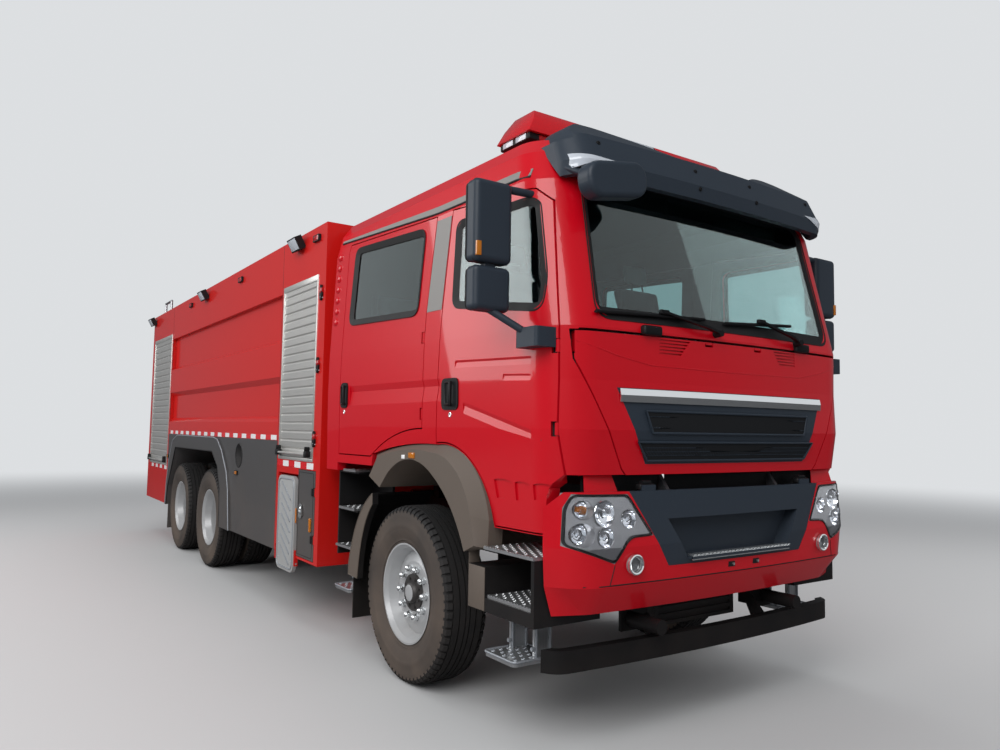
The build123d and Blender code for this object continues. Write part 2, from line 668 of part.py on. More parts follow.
def sun_visor(cab_skin):
    """Visor shell over the windscreen with raised ears, and the kerb mirror on its arm."""
    sections = ((2830, -1500, 1062), (2905, -1512, 1064), (3060, -1440, 1052), (3200, -1235, 1000))
    outer = loft([Pos(0, 0, z) * nose_plan(aft(front), half, half, 150, aft(-1080), cab_bow)
                  for z, front, half in sections], ruled=True)
    hollow = loft([Pos(0, 0, z) * nose_plan(aft(front) + 40, half - 40, half - 40, 110, aft(-1000), cab_bow)
                   for z, front, half in ((2800, -1500, 1062), (2960, -1490, 1060))], ruled=True)
    top_line = outline((-1300, 2700), (-1300, 3000), (-1010, 3030), ((-930, 3150), (-740, 3200)),
                       ((-480, 3130), (-320, 3062)), (320, 3062), ((480, 3130), (740, 3200)),
                       ((930, 3150), (1010, 3030)), (1300, 3000), (1300, 2700))
    visor = (outer - hollow) & front_cut(top_line, -1700, -1000)
    visor = visor & side_cut(outline((-1700, 2830), (-1340, 2830), (-1230, 2960), (-1080, 3010),
                                     (-1080, 3300), (-1700, 3300)), -1300, 1300)
    visor = visor - cab_skin
    mirror_body = extrude(Plane.XZ * RectangleRounded(390, 180, 80), 110, dir=(0, 1, 0))
    mirror_body = Pos(-890, aft(-1600), 2785) * Rot(0, -10, 0) * fillet(mirror_body.edges(), 25)
    arm = rod(16, (-1010, aft(-1530), 2790), (-1040, aft(-1370), 2870))
    return joined(visor, mirror_body, arm)


def light_bar():
    """Wedge-shaped warning light bar on two roof feet."""
    face = outline((-850, 3268), (-835, 3360), (-780, 3430), (-590, 3430), (-530, 3360), (-515, 3268))
    bar = side_cut(face, -900, 900)
    ends = [Pos(960, aft(-680), 3400) * Rot(0, -28, 0) * Box(100, 500, 400)]
    for cut in both(*ends):
        bar = bar - cut
    base = block(-880, 880, aft(-830), aft(-535), 3228, 3268)
    feet = block(560, 640, aft(-800), aft(-560), 3130 + seat_gap, 3228)
    return joined(bar, base, *both(feet))


def wheel_arches():
    """Flared arch lip over each front wheel, with the liner behind it."""
    inner_steps = (((-645, 1120), (-420, 1295)), ((-130, 1365), (150, 1258)), (245, 1171))
    inside = outline((420, 1240), (408, 1379), *arch_points[1:], (-935, 935), (-790, 905), *inner_steps)
    outside = outline((406, 1234), (292, 1359), ((-100, 1424), (-439, 1414)), ((-715, 1305), (-845, 1100)),
                      (-886, 946), (-790, 905), *inner_steps)
    shift = Pos(0, seat_gap, -seat_gap)

    def at_x(face, x):
        return Pos(x, front_axle, 0) * shift * (Plane.YZ * face)

    body = extrude(at_x(inside, 1100), 90, dir=(1, 0, 0))
    lip = loft([at_x(inside, 1190), at_x(outside, 1246)], ruled=True)
    liner_face = outline((-790, 905), *inner_steps, (251, 1185), ((-128, 1379), (-428, 1308)),
                         ((-658, 1130), (-804, 905)))
    liner = side_cut(liner_face, 700, 1105)
    arch = joined(body, lip, liner)
    return both(arch)


def seats():
    """Two front seats and the crew bench, on pedestals from the cab floor."""
    found = []
    for x in (-560, 560):
        cushion = block(x - 250, x + 250, aft(-740), aft(-330), 1810, 1940)
        back = side_cut(outline((-400, 1920), (-300, 1920), (-190, 2600), (-280, 2620)), x - 240, x + 240)
        head = side_cut(outline((-285, 2610), (-205, 2600), (-175, 2790), (-250, 2800)), x - 130, x + 130)
        foot = block(x - 180, x + 180, aft(-700), aft(-400), cab_floor + seat_gap, 1810)
        found.append(joined(cushion, back, head, foot))
    bench = block(-1000, 1000, aft(420), aft(900), 1800, 1950)
    rest = block(-1000, 1000, aft(900), aft(1000), 1800, 2560)
    box = block(-950, 950, aft(520), aft(980), cab_floor + seat_gap, 1800)
    found.append(joined(bench, rest, box))
    return found


def dashboard():
    """Dashboard across the cab with the steering column and wheel."""
    face = outline((-1359.7, 1620), (-1359.7, 2044), (-1300, 2090), (-1120, 2100), (-1010, 2030), (-1000, 1880),
                   (-1150, 1700), (-1200, 1620))
    dash = side_cut(face, -1000, 1000)
    column = rod(34, (560, aft(-1130), 1860), (560, aft(-975), 2108))
    tilt = Pos(560, aft(-970), 2116) * Rot(-32, 0, 0)
    rim = tilt * Torus(222, 15)
    hub = tilt * Cylinder(60, 40)
    spokes = [tilt * Rot(0, 0, turn) * Pos(115, 0, 0) * Box(220, 34, 16) for turn in (0, 180, 270)]
    return joined(dash, column, hub, rim, *spokes)


def mirror_right(cab_skin):
    """Main and wide-angle mirror housings on the door, with both arms."""
    main = fillet(block(-1500, -1278, aft(-1250), aft(-1150), 2362, 2770).edges(), 30)
    wide = fillet(block(-1496, -1282, aft(-1245), aft(-1150), 2125, 2345).edges(), 28)
    link = block(-1420, -1360, aft(-1215), aft(-1175), 2330, 2380)
    upper = rod(20, (-1390, aft(-1200), 2750), (-1150, aft(-1215), 2752))
    upper = upper + rod(20, (-1150, aft(-1215), 2752), (-1080, aft(-1215), 2752))
    lower = rod(18, (-1390, aft(-1200), 2140), (-1200, aft(-1330), 2000))
    pad = fillet(block(-1262, -1120, aft(-1424), aft(-1250), 1952, 2048).edges().filter_by(Axis.Z), 20)
    return joined(main, wide, link, upper, lower, pad) - cab_skin


# Wheels
def tyre(x):
    """Tyre filled to its rim."""
    half = tyre_width / 2
    face = outline((-106.6, rim_radius + 2), (-123.5, 307), ((-half, 415), (-half + 15, 505)),
                   (-half + 24, tyre_radius - 9), (-96, tyre_radius), (96, tyre_radius),
                   (half - 24, tyre_radius - 9), (half - 15, 505),
                   ((half, 415), (123.5, 307)), (106.6, rim_radius + 2), (40, 263), (-40, 263))
    ring = revolve(face, axis=Axis.X, revolution_arc=360)
    return Pos(x, 0, 0) * ring


rim_barrel = ((-125, 305), (-108, 286), (-40, 262), (40, 262), (108, 286), (125, 305), (125, 295),
              (100, 275), (36, 250), (-36, 250), (-100, 275), (-125, 295))


def wheel_shape(points):
    """Solid of revolution about the wheel's own axle, from (x, radius) points."""
    return revolve(polygon(points), axis=Axis.X, revolution_arc=360)


def front_rim():
    """Front wheel disc, hub and brake drum, about its own centre; +X is outboard."""
    barrel = wheel_shape(rim_barrel)
    disc = wheel_shape(((50, 95), (62, 95), (62, 190), (36, 262), (22, 256), (50, 186)))
    hub = wheel_shape(((-12, 0), (-12, 95), (40, 95), (40, 112), (72, 112), (72, 60), (85, 55), (85, 0)))
    drum = wheel_shape(((-60, drum_radius - 12), (-60, drum_radius), (50, drum_radius), (50, 90),
                        (38, 90), (38, drum_radius - 12)))
    bore = rod(spindle_radius + pin_gap, (-90, 0, 0), (62, 0, 0))
    return joined(barrel, disc, hub, drum) - bore


def rear_rim():
    """Twin rear rims on one hub and drum, about the plane where their discs meet."""
    outer_barrel = Pos(twin_half, 0, 0) * wheel_shape(rim_barrel)
    inner_barrel = Pos(-twin_half, 0, 0) * wheel_shape(rim_barrel)
    dish = wheel_shape(((0, 95), (0, 205), (twin_half - 60, 264), (twin_half - 36, 254), (12, 186), (12, 95)))
    inner_dish = mirror(dish, about=Plane.YZ)
    hub = wheel_shape(((-150, 0), (-150, 80), (-60, 112), (40, 112), (128, 92), (140, 60), (140, 0)))
    drum = wheel_shape(((-205, drum_radius - 12), (-205, drum_radius), (-12, drum_radius), (-12, 90),
                        (-26, 90), (-26, drum_radius - 12)))
    bore = rod(52 + pin_gap, (-160, 0, 0), (72, 0, 0))
    return joined(outer_barrel, inner_barrel, dish, inner_dish, hub, drum) - bore


def place_wheel(shape, x, y, right):
    """Put a wheel piece modelled about its own centre on its axle."""
    if right:
        shape = mirror(shape, about=Plane.YZ)
        x = -x
    return Pos(x, y, axle_height) * shape


def knuckle():
    """Left steering knuckle: two ears on the kingpin, the spindle and the steering arm."""
    y = aft(0)
    top = axle_height + boss_half + ear_gap
    low = axle_height - boss_half - ear_gap
    ears = []
    for z0, z1 in ((top, top + ear_thick), (low - ear_thick, low)):
        ears.append(rod(boss_radius, (kingpin_x, y, z0), (kingpin_x, y, z1)))
        ears.append(block(kingpin_x, kingpin_x + 95, y - 42, y + 42, z0, z1))
    yoke = block(kingpin_x + boss_radius + 6, kingpin_x + 95, y - 42, y + 42, low - ear_thick, top + ear_thick)
    pin = rod(kingpin_radius, (kingpin_x, y, low - 10), (kingpin_x, y, top + 10))
    spindle = rod(spindle_radius, (kingpin_x + 80, y, axle_height), (front_wheel_x + 56, y, axle_height))
    arm_z = low - ear_thick
    end = (kingpin_x - arm_in, y + arm_back)
    eye = rod(30, (*end, arm_z), (*end, arm_z + ear_thick))
    reach = math.hypot(arm_in, arm_back)
    turn = math.degrees(math.atan2(arm_back, -arm_in))
    arm = Pos(kingpin_x, y, arm_z + ear_thick / 2) * Rot(0, 0, turn) * Pos(reach / 2, 0, 0) * Box(
        reach, 44, ear_thick)
    hole = rod(12 + pin_gap, (*end, arm_z - 5), (*end, arm_z + ear_thick + 5))
    return joined(yoke, pin, spindle, eye, arm, *ears) - hole


def tie_rod():
    """Rod between the steering arms, with a pin up through the left arm's eye."""
    y = aft(arm_back)
    arm_z = axle_height - boss_half - ear_gap - ear_thick
    x = kingpin_x - arm_in
    z = arm_z - 24
    bar = rod(tie_rod_radius, (-x, y, z), (x, y, z))
    head = rod(26, (x, y, z - 19), (x, y, z + 19))
    pin = rod(12, (x, y, z), (x, y, arm_z + ear_thick))
    return joined(bar, *both(head), pin)


# Bodywork behind the cab; y is aft of the front axle
body_front = 1266.5
front_seam = 2255.0
rear_seam = 6670.0
body_back = wheelbase + bogie_spread + rear_overhang - 70.0
half_body = body_width / 2
box_floor = 507.0
box_inner = 470.0
deck = 3000.0
parapet = 75.0
tank_low = 1430.0
shutter_recess = 14.0
# Side shutters as (front, back, low, high)
side_shutters = ((1430.0, 2200.0, 1300.0, 2720.0), (6740.0, 7870.0, 1030.0, 2745.0))
rear_shutter_half = 560.0
rear_shutter_low = 1150.0
rear_shutter_high = 2650.0
seam = 4.0
locker_front = 1353.0
locker_back = 1717.0
locker_low = 530.0
locker_high = 1210.0
board_front = 1750.0
board_back = 2160.0
board_low = 380.0
board_high = 1147.0
board_thick = 30.0
board_axis_z = 460.0
board_x = half_body + 12.0
monitor_y = 7300.0
riser_top = 3190.0
monitor_pivot = 3430.0
hatch_y = 4300.0
hatch_radius = 310.0


def roof_deck(shape, front_wall_y, back_wall_y):
    """Lower the roof between its parapets."""
    return shape - block(-half_body + parapet, half_body - parapet, aft(front_wall_y), aft(back_wall_y),
                         deck, body_top + 10)


def equipment_boxes():
    """Front and rear equipment modules with shutter recesses, lockers and the monitor riser."""
    front = block(-half_body, half_body, aft(body_front), aft(front_seam - seam), rail_top + 40, body_top)
    front = roof_deck(front, body_front + parapet, front_seam + 10)
    front_side = block(box_inner, half_body, aft(body_front), aft(front_seam - seam), box_floor, rail_top + 40)
    pad = block(-rail_half, rail_half, aft(body_front + 60), aft(front_seam - seam - 60), rail_top, rail_top + 40)
    front = joined(front, pad, *both(front_side))
    bay = block(half_body - 250, half_body + 5, aft(board_front - 30), aft(board_back + 40), box_floor - 5,
                board_high + 20)
    locker_hole = block(half_body - 33, half_body + 5, aft(locker_front - 10),
                        aft(locker_back + panel_gap / 2), locker_low - panel_gap / 2, locker_high + panel_gap / 2)
    locker_room = block(half_body - 620, half_body, aft(locker_front + 22), aft(locker_back - 22),
                        locker_low + 22, locker_high - 22)
    for cut in both(bay, locker_hole, locker_room):
        front = front - cut
    ear = [block(board_x - board_thick, board_x, aft(y), aft(y) + 14, board_axis_z - 18, box_floor + 60)
           for y in (board_front - 30, board_back + 26)]
    root = [block(half_body - 60, board_x, aft(y), aft(y) + 14, box_floor, box_floor + 60)
            for y in (board_front - 30, board_back + 26)]
    front = joined(front, *both(*ear, *root))
    pin_hole = rod(8 + pin_gap, (board_x - board_thick / 2, aft(board_front - 60), board_axis_z),
                   (board_x - board_thick / 2, aft(board_back + 60), board_axis_z))
    for cut in both(pin_hole):
        front = front - cut
    for fixed in both(*locker_eyes()[0]):
        front = front + fixed

    rear = block(-half_body, half_body, aft(rear_seam), aft(body_back), rail_top + 40, body_top)
    rear = roof_deck(rear, rear_seam - 10, body_back - parapet)
    rear_side = block(box_inner, half_body, aft(rear_seam), aft(body_back), box_floor, rail_top + 40)
    rear_pad = block(-rail_half, rail_half, aft(rear_seam + 60), aft(rail_back - 100), rail_top, rail_top + 40)
    riser = rod(75, (0, aft(monitor_y), deck), (0, aft(monitor_y), riser_top))
    rear = joined(rear, rear_pad, riser, *both(rear_side))
    rear = rear - rod(42 + pin_gap, (0, aft(monitor_y), riser_top - 90), (0, aft(monitor_y), riser_top + 5))
    modules = [front, rear]
    for number, (y0, y1, z0, z1) in enumerate(side_shutters):
        recess = block(half_body - shutter_recess, half_body + 5, aft(y0), aft(y1), z0, z1)
        for cut in both(recess):
            modules[number] = modules[number] - cut
    modules[1] = modules[1] - block(-rear_shutter_half, rear_shutter_half, aft(body_back - shutter_recess),
                                    aft(body_back) + 5, rear_shutter_low, rear_shutter_high)
    return modules


def slats(width, height, count):
    """Roller shutter of interlocked slats, standing on z 0 with its face towards +X."""
    pitch = height / count
    back = 2.0
    face = 12.0
    points = [(back, 0)]
    for number in range(count):
        z = number * pitch
        points.extend([(face, z + 0.18 * pitch), (face, z + 0.82 * pitch), (back + 4, z + pitch)])
    points.append((0, height))
    points.append((0, 0))
    return Pos(0, -width / 2, 0) * extrude(Plane.XZ * polygon(points), width, dir=(0, 1, 0))


def roller_shutters():
    """Side shutters in the equipment modules and the rear pump shutter."""
    found = []
    for y0, y1, z0, z1 in side_shutters:
        panel = slats(y1 - y0 - 2 * seat_gap, z1 - z0 - 2 * seat_gap, 20)
        place = Pos(half_body - shutter_recess + seat_gap, aft((y0 + y1) / 2), z0 + seat_gap)
        found.extend(both(place * panel))
    panel = slats(2 * rear_shutter_half - 2 * seat_gap, rear_shutter_high - rear_shutter_low - 2 * seat_gap, 20)
    place = Pos(0, aft(body_back - shutter_recess) + seat_gap, rear_shutter_low + seat_gap) * Rot(0, 0, 90)
    found.append(place * panel)
    return found


# Half of the tank's side relief as (x drawn in, z), from the top down
tank_relief = ((0, body_top), (0, 2700), (45, 2700), (45, 2310), (0, 2282), (0, 1980), (45, 1930),
               (45, 1640), (0, 1590), (0, tank_low))


def tank_section():
    """Ribbed water tank body with its roof deck, hatch rim and the narrow part between the rails."""
    side = [(half_body - inset, z) for inset, z in tank_relief]
    other = [(-x, z) for x, z in reversed(side)]
    tank = front_cut(polygon(side + other), front_seam, rear_seam - seam)
    tank = roof_deck(tank, front_seam - 10, rear_seam + 10)
    sump = block(-box_inner, box_inner, aft(front_seam), aft(rear_seam - seam), rail_top, tank_low)
    rim = rod(hatch_radius - 20, (0, aft(hatch_y), deck), (0, aft(hatch_y), deck + 60))
    rim = rim - rod(hatch_radius - 40, (0, aft(hatch_y), deck + 10), (0, aft(hatch_y), deck + 70))
    ears = [block(x, x + 14, aft(hatch_y + hatch_radius + 5), aft(hatch_y + hatch_radius + 45), deck, deck + 92)
            for x in (-80, 66)]
    tank = joined(tank, sump, rim, *ears)
    pin_hole = rod(7 + pin_gap, (-100, aft(hatch_y + hatch_radius + 25), deck + 74),
                   (100, aft(hatch_y + hatch_radius + 25), deck + 74))
    return tank - pin_hole


def manhole_lid():
    """Round hatch lid with its hinge arm and pin."""
    y = aft(hatch_y)
    lid = rod(hatch_radius, (0, y, deck + 65), (0, y, deck + 83))
    arm = block(-58, 58, y + hatch_radius - 80, y + hatch_radius + 36, deck + 65, deck + 83)
    pin = rod(7, (-80, aft(hatch_y + hatch_radius + 25), deck + 74), (80, aft(hatch_y + hatch_radius + 25), deck + 74))
    grip = block(-60, 60, y - hatch_radius + 40, y - hatch_radius + 60, deck + 83, deck + 112)
    return joined(lid, arm, pin, grip)


# Rear wheel arch as (y aft, z): the opening, and the outer edge of the band that stands out around it
arch_opening = ((3960, box_floor), (3975, 900), (4095, 1128), (4338, 1272), (6148, 1268), (6321, 1023),
                (6510, 760), (6575, box_floor))
arch_band = ((3600, box_floor), (3668, 898), (3748, 1089), (3950, 1292), (4137, 1402), (4295, 1424),
             (6060, 1424), (6330, 1350), (6500, 1090), (6600, 800), (6640, box_floor))
band_stand = 22.0
arch_plate = 14.0
flap_low = 200.0
filler_hole = (3395.0, 1262.0, 108.0)


def side_skirts():
    """Lower side panels with the band and liner of the rear wheel arch, and the mud flap behind."""
    skirt_in = half_body - 60
    opening = polygon(((arch_opening[0][0], 400),) + arch_opening + ((arch_opening[-1][0], 400),))
    panel = block(skirt_in, half_body, aft(front_seam), aft(rear_seam - seam), box_floor, tank_low - seat_gap)
    band = side_cut(polygon(arch_band), half_body - 30, half_body + band_stand)
    plate = side_cut(offset(opening, amount=arch_plate, kind=Kind.INTERSECTION), 575, skirt_in + 5)
    plate = plate & block(500, 1300, aft(3800), aft(6640), box_floor, 1400)
    back = arch_opening[-1][0]
    flap = block(640, half_body - 10, aft(back), aft(back) + arch_plate - 2, flap_low, box_floor + 60)
    side = joined(panel, band, plate) - side_cut(opening, 400, 1400)
    y, z, radius = filler_hole
    side = joined(side, flap) - rod(radius, (skirt_in - 10, aft(y), z), (half_body + 10, aft(y), z))
    return both(side)


def step_board():
    """Right fold-down step board, standing folded up against the body, with its hinge pin."""
    x1 = -(board_x - board_thick)
    x0 = -board_x
    board = fillet(block(x0, x1, aft(board_front), aft(board_back), board_low, board_high)
                   .edges().filter_by(Axis.X), 70)
    ribs = 7
    pitch = (board_high - board_low - 160) / ribs
    for number in range(ribs):
        z = board_low + 80 + pitch * (number + 0.5)
        rib = Pos(x0, aft((board_front + board_back) / 2), z) * Rot(32, 0, 0) * Box(12, 260, 16)
        board = board - rib
    pin = rod(8, (-(board_x - board_thick / 2), aft(board_front - 28), board_axis_z),
              (-(board_x - board_thick / 2), aft(board_back + 38), board_axis_z))
    return board + pin


def locker_eyes():
    """Fixed hinge eyes of the left front locker and the pockets for them."""
    fixed = []
    pockets = []
    for z in (locker_low + 160, locker_high - 160):
        eye, pocket = upright_hinge(half_body - 11, aft(locker_front + 12), 8, 4, z,
                                    (half_body - 20, aft(locker_front - 30)))
        fixed.append(eye)
        pockets.append(pocket)
    return fixed, pockets


def locker_door():
    """Left front locker door with its latch plate."""
    door = block(half_body - 25, half_body, aft(locker_front), aft(locker_back), locker_low, locker_high)
    for pocket in locker_eyes()[1]:
        door = door - pocket
    latch = block(half_body, half_body + 8, aft(locker_back - 130), aft(locker_back - 60), 850, 905)
    return door + latch


def step_boxes():
    """Moulded step boxes, wheel splash guards and rear door step carriers, each on arms to the frame."""
    arm_in = rail_half + seat_gap
    front = block(800, 1215, aft(-1370), aft(-800), 620, 936)
    front = front - block(850, 1230, aft(-1345), aft(-955), 690, 950)
    front = front - block(780, 1230, aft(-955), aft(-790), 845, 950)
    front_arm = block(arm_in, 810, aft(-1150), aft(-1070), 800, 880)
    guard_face = outline((343, 1128), ((560, 935), (693, 620)), (693, 545), (545, 540), ((475, 850), (338, 1052)))
    guard_lip = side_cut(guard_face, 1206, 1246)
    liner_face = outline((343, 1128), ((560, 935), (693, 620)), (693, 250), (681, 250), (681, 618),
                         ((551, 927), (340, 1116)))
    guard = side_cut(liner_face, 780, 1210)
    guard_arm = block(arm_in, 800, aft(640), aft(740), 700, 780)
    carrier = block(905, 925, aft(693), aft(1030), 640, 1240)
    plate = block(905, 1190, aft(1010), aft(1030), 640, 1240)
    shelves = [block(905, 1190, aft(693), aft(1015), z, z + 12) for z in (690, 960, 1228)]
    carrier_arm = block(arm_in, 910, aft(860), aft(940), 800, 880)
    return both(joined(front, front_arm), joined(guard_lip, guard, guard_arm, carrier, plate, carrier_arm, *shelves))


def step_treads():
    """Aluminium treads on the step boxes and carriers, and the hanging cast steps below."""
    found = []
    rows = ((-1370, -945, 860, 1222, 936), (-1340, -960, 856, 1205, 690),
            (697, 1005, 930, 1215, 702), (697, 965, 930, 1215, 972), (697, 905, 930, 1215, 1240))
    for y0, y1, x0, x1, z in rows:
        found.append(block(x0, x1, aft(y0), aft(y1), z + seat_gap, z + 14))
    for y0, y1, z_top in ((-1227, -962, 620), (730, 990, 690)):
        plate = fillet(block(960, 1222, aft(y0), aft(y1), 408, 430).edges().filter_by(Axis.Z), 30)
        legs = [block(975, 1080, aft(y), aft(y) + 14, 425, z_top - seat_gap) for y in (y0 + 25, y1 - 40)]
        found.append(joined(plate, *legs))
    return both(*found)


def under_tanks():
    """Fuel tank on the left and two air tanks on the right, each on brackets to the frame."""
    arm_in = rail_half + seat_gap
    fuel = fillet(block(520, 1130, aft(2500), aft(3600), 560, 1130).edges().filter_by(Axis.Y), 60)
    fuel_arms = [block(arm_in, 525, aft(y), aft(y) + 60, 780, 860) for y in (2700, 3340)]
    found = [joined(fuel, *fuel_arms)]
    for y in (2420, 3170):
        tank = rod(130, (-700, aft(y), 760), (-700, aft(y + 700), 760))
        arms = [block(-580, -arm_in, aft(y + step), aft(y + step) + 50, 740, 790) for step in (150, 500)]
        found.append(joined(tank, *arms))
    return found


def rear_ladder():
    """Ladder on the right of the rear face, with hoops down to the roof deck."""
    back = rear_end - 19
    front = aft(body_back) - 330
    top = 3375.0
    xs = (-1090.0, -730.0)
    parts = []
    for x in xs:
        parts.append(rod(17, (x, back, 760), (x, back, top)))
        parts.append(rod(17, (x, back, top), (x, front, top)))
        parts.append(rod(17, (x, front, deck + seat_gap), (x, front, top)))
        for y in (back, front):
            parts.append(Pos(x, y, top) * Sphere(18.5))
        for z in (850.0, 1900.0, 2950.0):
            parts.append(rod(12, (x, aft(body_back) + seat_gap, z), (x, back, z)))
    for number in range(8):
        z = 800.0 + 305.0 * number
        parts.append(rod(13, (xs[0], back, z), (xs[1], back, z)))
    return joined(*parts)


# Side lamps as (y aft, z, length along y, height, stand-out)
flood_lamps = ((1825, 3060), (4921, 3054), (7930, 3065))
strobe_lamps = ((1453, 3040), (3537, 3029), (5670, 3036))
oval_lamps = ((1334, 2590), (1360, 2027), (1390, 1457))
marker_lamps = ((3450, 1090), (6655, 1136))


def body_lamps():
    """Flood lamps, strobes and markers along the sides, and the rear lamp clusters."""
    x = half_body + seat_gap
    found = []
    for y, z in flood_lamps:
        head = Pos(x + 45, aft(y), z) * Rot(0, 28, 0) * Box(60, 190, 110)
        neck = block(x, x + 40, aft(y) - 30, aft(y) + 30, z - 20, z + 20)
        found.append((head + neck) - block(0, x, aft(y) - 200, aft(y) + 200, z - 200, z + 200))
    for y, z in strobe_lamps:
        found.append(block(x, x + 22, aft(y) - 60, aft(y) + 60, z - 25, z + 25))
    for y, z in oval_lamps:
        found.append(extrude(Pos(x, aft(y), z) * (Plane.YZ * Ellipse(24, 62)), 16, dir=(1, 0, 0)))
    for y, z in marker_lamps:
        found.append(block(x, x + 14, aft(y) - 45, aft(y) + 45, z - 20, z + 20))
    rear = block(830, 1130, aft(body_back) + seat_gap, aft(body_back) + 45, 620, 740)
    top = block(1130, 1210, aft(body_back) + seat_gap, aft(body_back) + 40, 2830, 2960)
    return both(*found, rear, top)


def monitor_head():
    """Turning head of the roof monitor: a spigot in the riser and a fork."""
    y = aft(monitor_y)
    spigot = rod(42, (0, y, riser_top - 70), (0, y, riser_top + 10))
    turret = rod(85, (0, y, riser_top + 5), (0, y, riser_top + 130))
    ear_face = outline((-70, riser_top + 100), (-70, monitor_pivot), ((0, monitor_pivot + 70), (70, monitor_pivot)),
                       (70, riser_top + 100))
    ear = extrude(Pos(77, y, 0) * (Plane.YZ * ear_face), 22, dir=(1, 0, 0))
    ear = ear + block(60, 99, y - 60, y + 60, riser_top + 90, riser_top + 130)
    head = joined(spigot, turret, *both(ear))
    return head - rod(20 + pin_gap, (-120, y, monitor_pivot), (120, y, monitor_pivot))


def monitor_barrel():
    """Water cannon barrel with its trunnion pin, pointing forward."""
    y = aft(monitor_y)
    pin = rod(20, (-97, y, monitor_pivot), (97, y, monitor_pivot))
    boss = rod(66, (-70, y, monitor_pivot), (70, y, monitor_pivot))
    tube = rod(42, (0, y + 50, monitor_pivot), (0, y - 480, monitor_pivot))
    nozzle = Pos(0, y - 480, monitor_pivot) * Rot(90, 0, 0) * Cone(
        42, 62, 240, align=(Align.CENTER, Align.CENTER, Align.MIN))
    return joined(pin, boss, tube, nozzle)


def build_all():
    """Model every sub-part and write it."""
    shell, doors, panes, flap, grille, screen = cab_pieces()
    cab_skin = skin()
    save("cab_shell", shell)
    save("windscreen", screen)
    save("front_panel", flap)
    save("front_grille", grille)
    mirror_body = mirror_right(cab_skin)
    save("mirror_right", mirror_body)
    save("mirror_left", mirror(mirror_body, about=Plane.YZ))
    for place in ("front", "rear"):
        save(f"door_{place}_right", doors[place])
        save(f"door_{place}_left", mirror(doors[place], about=Plane.YZ))
        save(f"glass_{place}_right", panes[place])
        save(f"glass_{place}_left", mirror(panes[place], about=Plane.YZ))
    save("sun_visor", sun_visor(cab_skin))
    save("light_bar", light_bar())
    save("wheel_arches", *wheel_arches())
    save("seats", *seats())
    save("dashboard", dashboard())

    save("chassis_frame", chassis())
    save("axles", front_axle_beam(), rear_axle_set())
    save("engine_block", engine())
    save("radiator", radiator())
    save("under_tanks", *under_tanks())
    save("bumper", bumper())
    save("bumper_grille", bumper_panel())
    save("headlamps", *headlamps())
    save("underrun_bars", *underrun_bars())
    save("step_boxes", *step_boxes())
    save("step_treads", *step_treads())

    save("equipment_boxes", *equipment_boxes())
    save("tank_section", tank_section())
    save("roller_shutters", *roller_shutters())
    save("side_skirts", *side_skirts())
    save("rear_ladder", rear_ladder())
    save("body_lamps", *body_lamps())
    save("manhole_lid", manhole_lid())
    save("monitor_head", monitor_head())
    save("monitor_barrel", monitor_barrel())
    board = step_board()
    locker = locker_door()
    save("step_board_right", board)
    save("step_board_left", mirror(board, about=Plane.YZ))
    save("locker_door_left", locker)
    save("locker_door_right", mirror(locker, about=Plane.YZ))

    left_knuckle = knuckle()
    save("knuckle_left", left_knuckle)
    save("knuckle_right", mirror(left_knuckle, about=Plane.YZ))
    save("tie_rod", tie_rod())
    front_disc = front_rim()
    twin_disc = rear_rim()
    single_tyre = tyre(0)
    twin_tyres = [tyre(-twin_half), tyre(twin_half)]
    for side, right in (("left", False), ("right", True)):
        save(f"rim_front_{side}", place_wheel(front_disc, front_wheel_x, aft(0), right))
        save(f"tyre_front_{side}", place_wheel(single_tyre, front_wheel_x, aft(0), right))
        for number, y in enumerate(rear_axles, start=1):
            save(f"rim_rear_{number}_{side}", place_wheel(twin_disc, rear_wheel_x, y, right))
            save(f"tyres_rear_{number}_{side}", *[place_wheel(ring, rear_wheel_x, y, right)
                                                 for ring in twin_tyres])


build_all()
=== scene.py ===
"""Looks of a water tanker fire truck: paint, glass, rubber and fittings around its packed frame."""

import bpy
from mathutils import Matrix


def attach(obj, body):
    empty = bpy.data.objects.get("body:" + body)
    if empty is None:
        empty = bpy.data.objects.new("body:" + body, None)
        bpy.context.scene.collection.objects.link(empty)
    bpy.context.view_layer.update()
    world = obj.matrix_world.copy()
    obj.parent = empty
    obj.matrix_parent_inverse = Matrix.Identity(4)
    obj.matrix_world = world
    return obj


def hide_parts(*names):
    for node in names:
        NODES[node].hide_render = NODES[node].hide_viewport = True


bl_info = {
    "name": "Water Tanker Fire Truck",
    "version": (1, 0, 0),
    "blender": (4, 5, 0),
    "location": "View3D > Sidebar > Truck",
    "description": "Finishes and fittings of a crew-cab water tanker fire truck",
    "category": "Object",
}

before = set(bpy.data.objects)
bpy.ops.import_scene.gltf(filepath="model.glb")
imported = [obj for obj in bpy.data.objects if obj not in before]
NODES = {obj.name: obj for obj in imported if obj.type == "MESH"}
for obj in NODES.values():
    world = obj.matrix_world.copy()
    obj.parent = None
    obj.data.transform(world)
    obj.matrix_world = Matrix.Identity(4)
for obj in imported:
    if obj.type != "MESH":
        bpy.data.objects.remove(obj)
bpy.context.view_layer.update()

import math

import bmesh
import bpy
from mathutils import Matrix, Vector
from mathutils.bvhtree import BVHTree

SIDES = (("right", -1), ("left", 1))
FRONT_AXLE = -3.24
REAR_AXLES = (1.36, 2.76)
AXLE_HEIGHT = 0.535
BODY_SIDE = 1.2505


def aft(y):
    """Frame place of a point y metres aft of the front axle."""
    return FRONT_AXLE + y


# Sizes and colours
def colour_prop(name, description, value):
    """A linear colour that a user may change."""
    return bpy.props.FloatVectorProperty(name=name, description=description, subtype="COLOR", size=3,
                                         min=0.0, max=1.0, default=value)


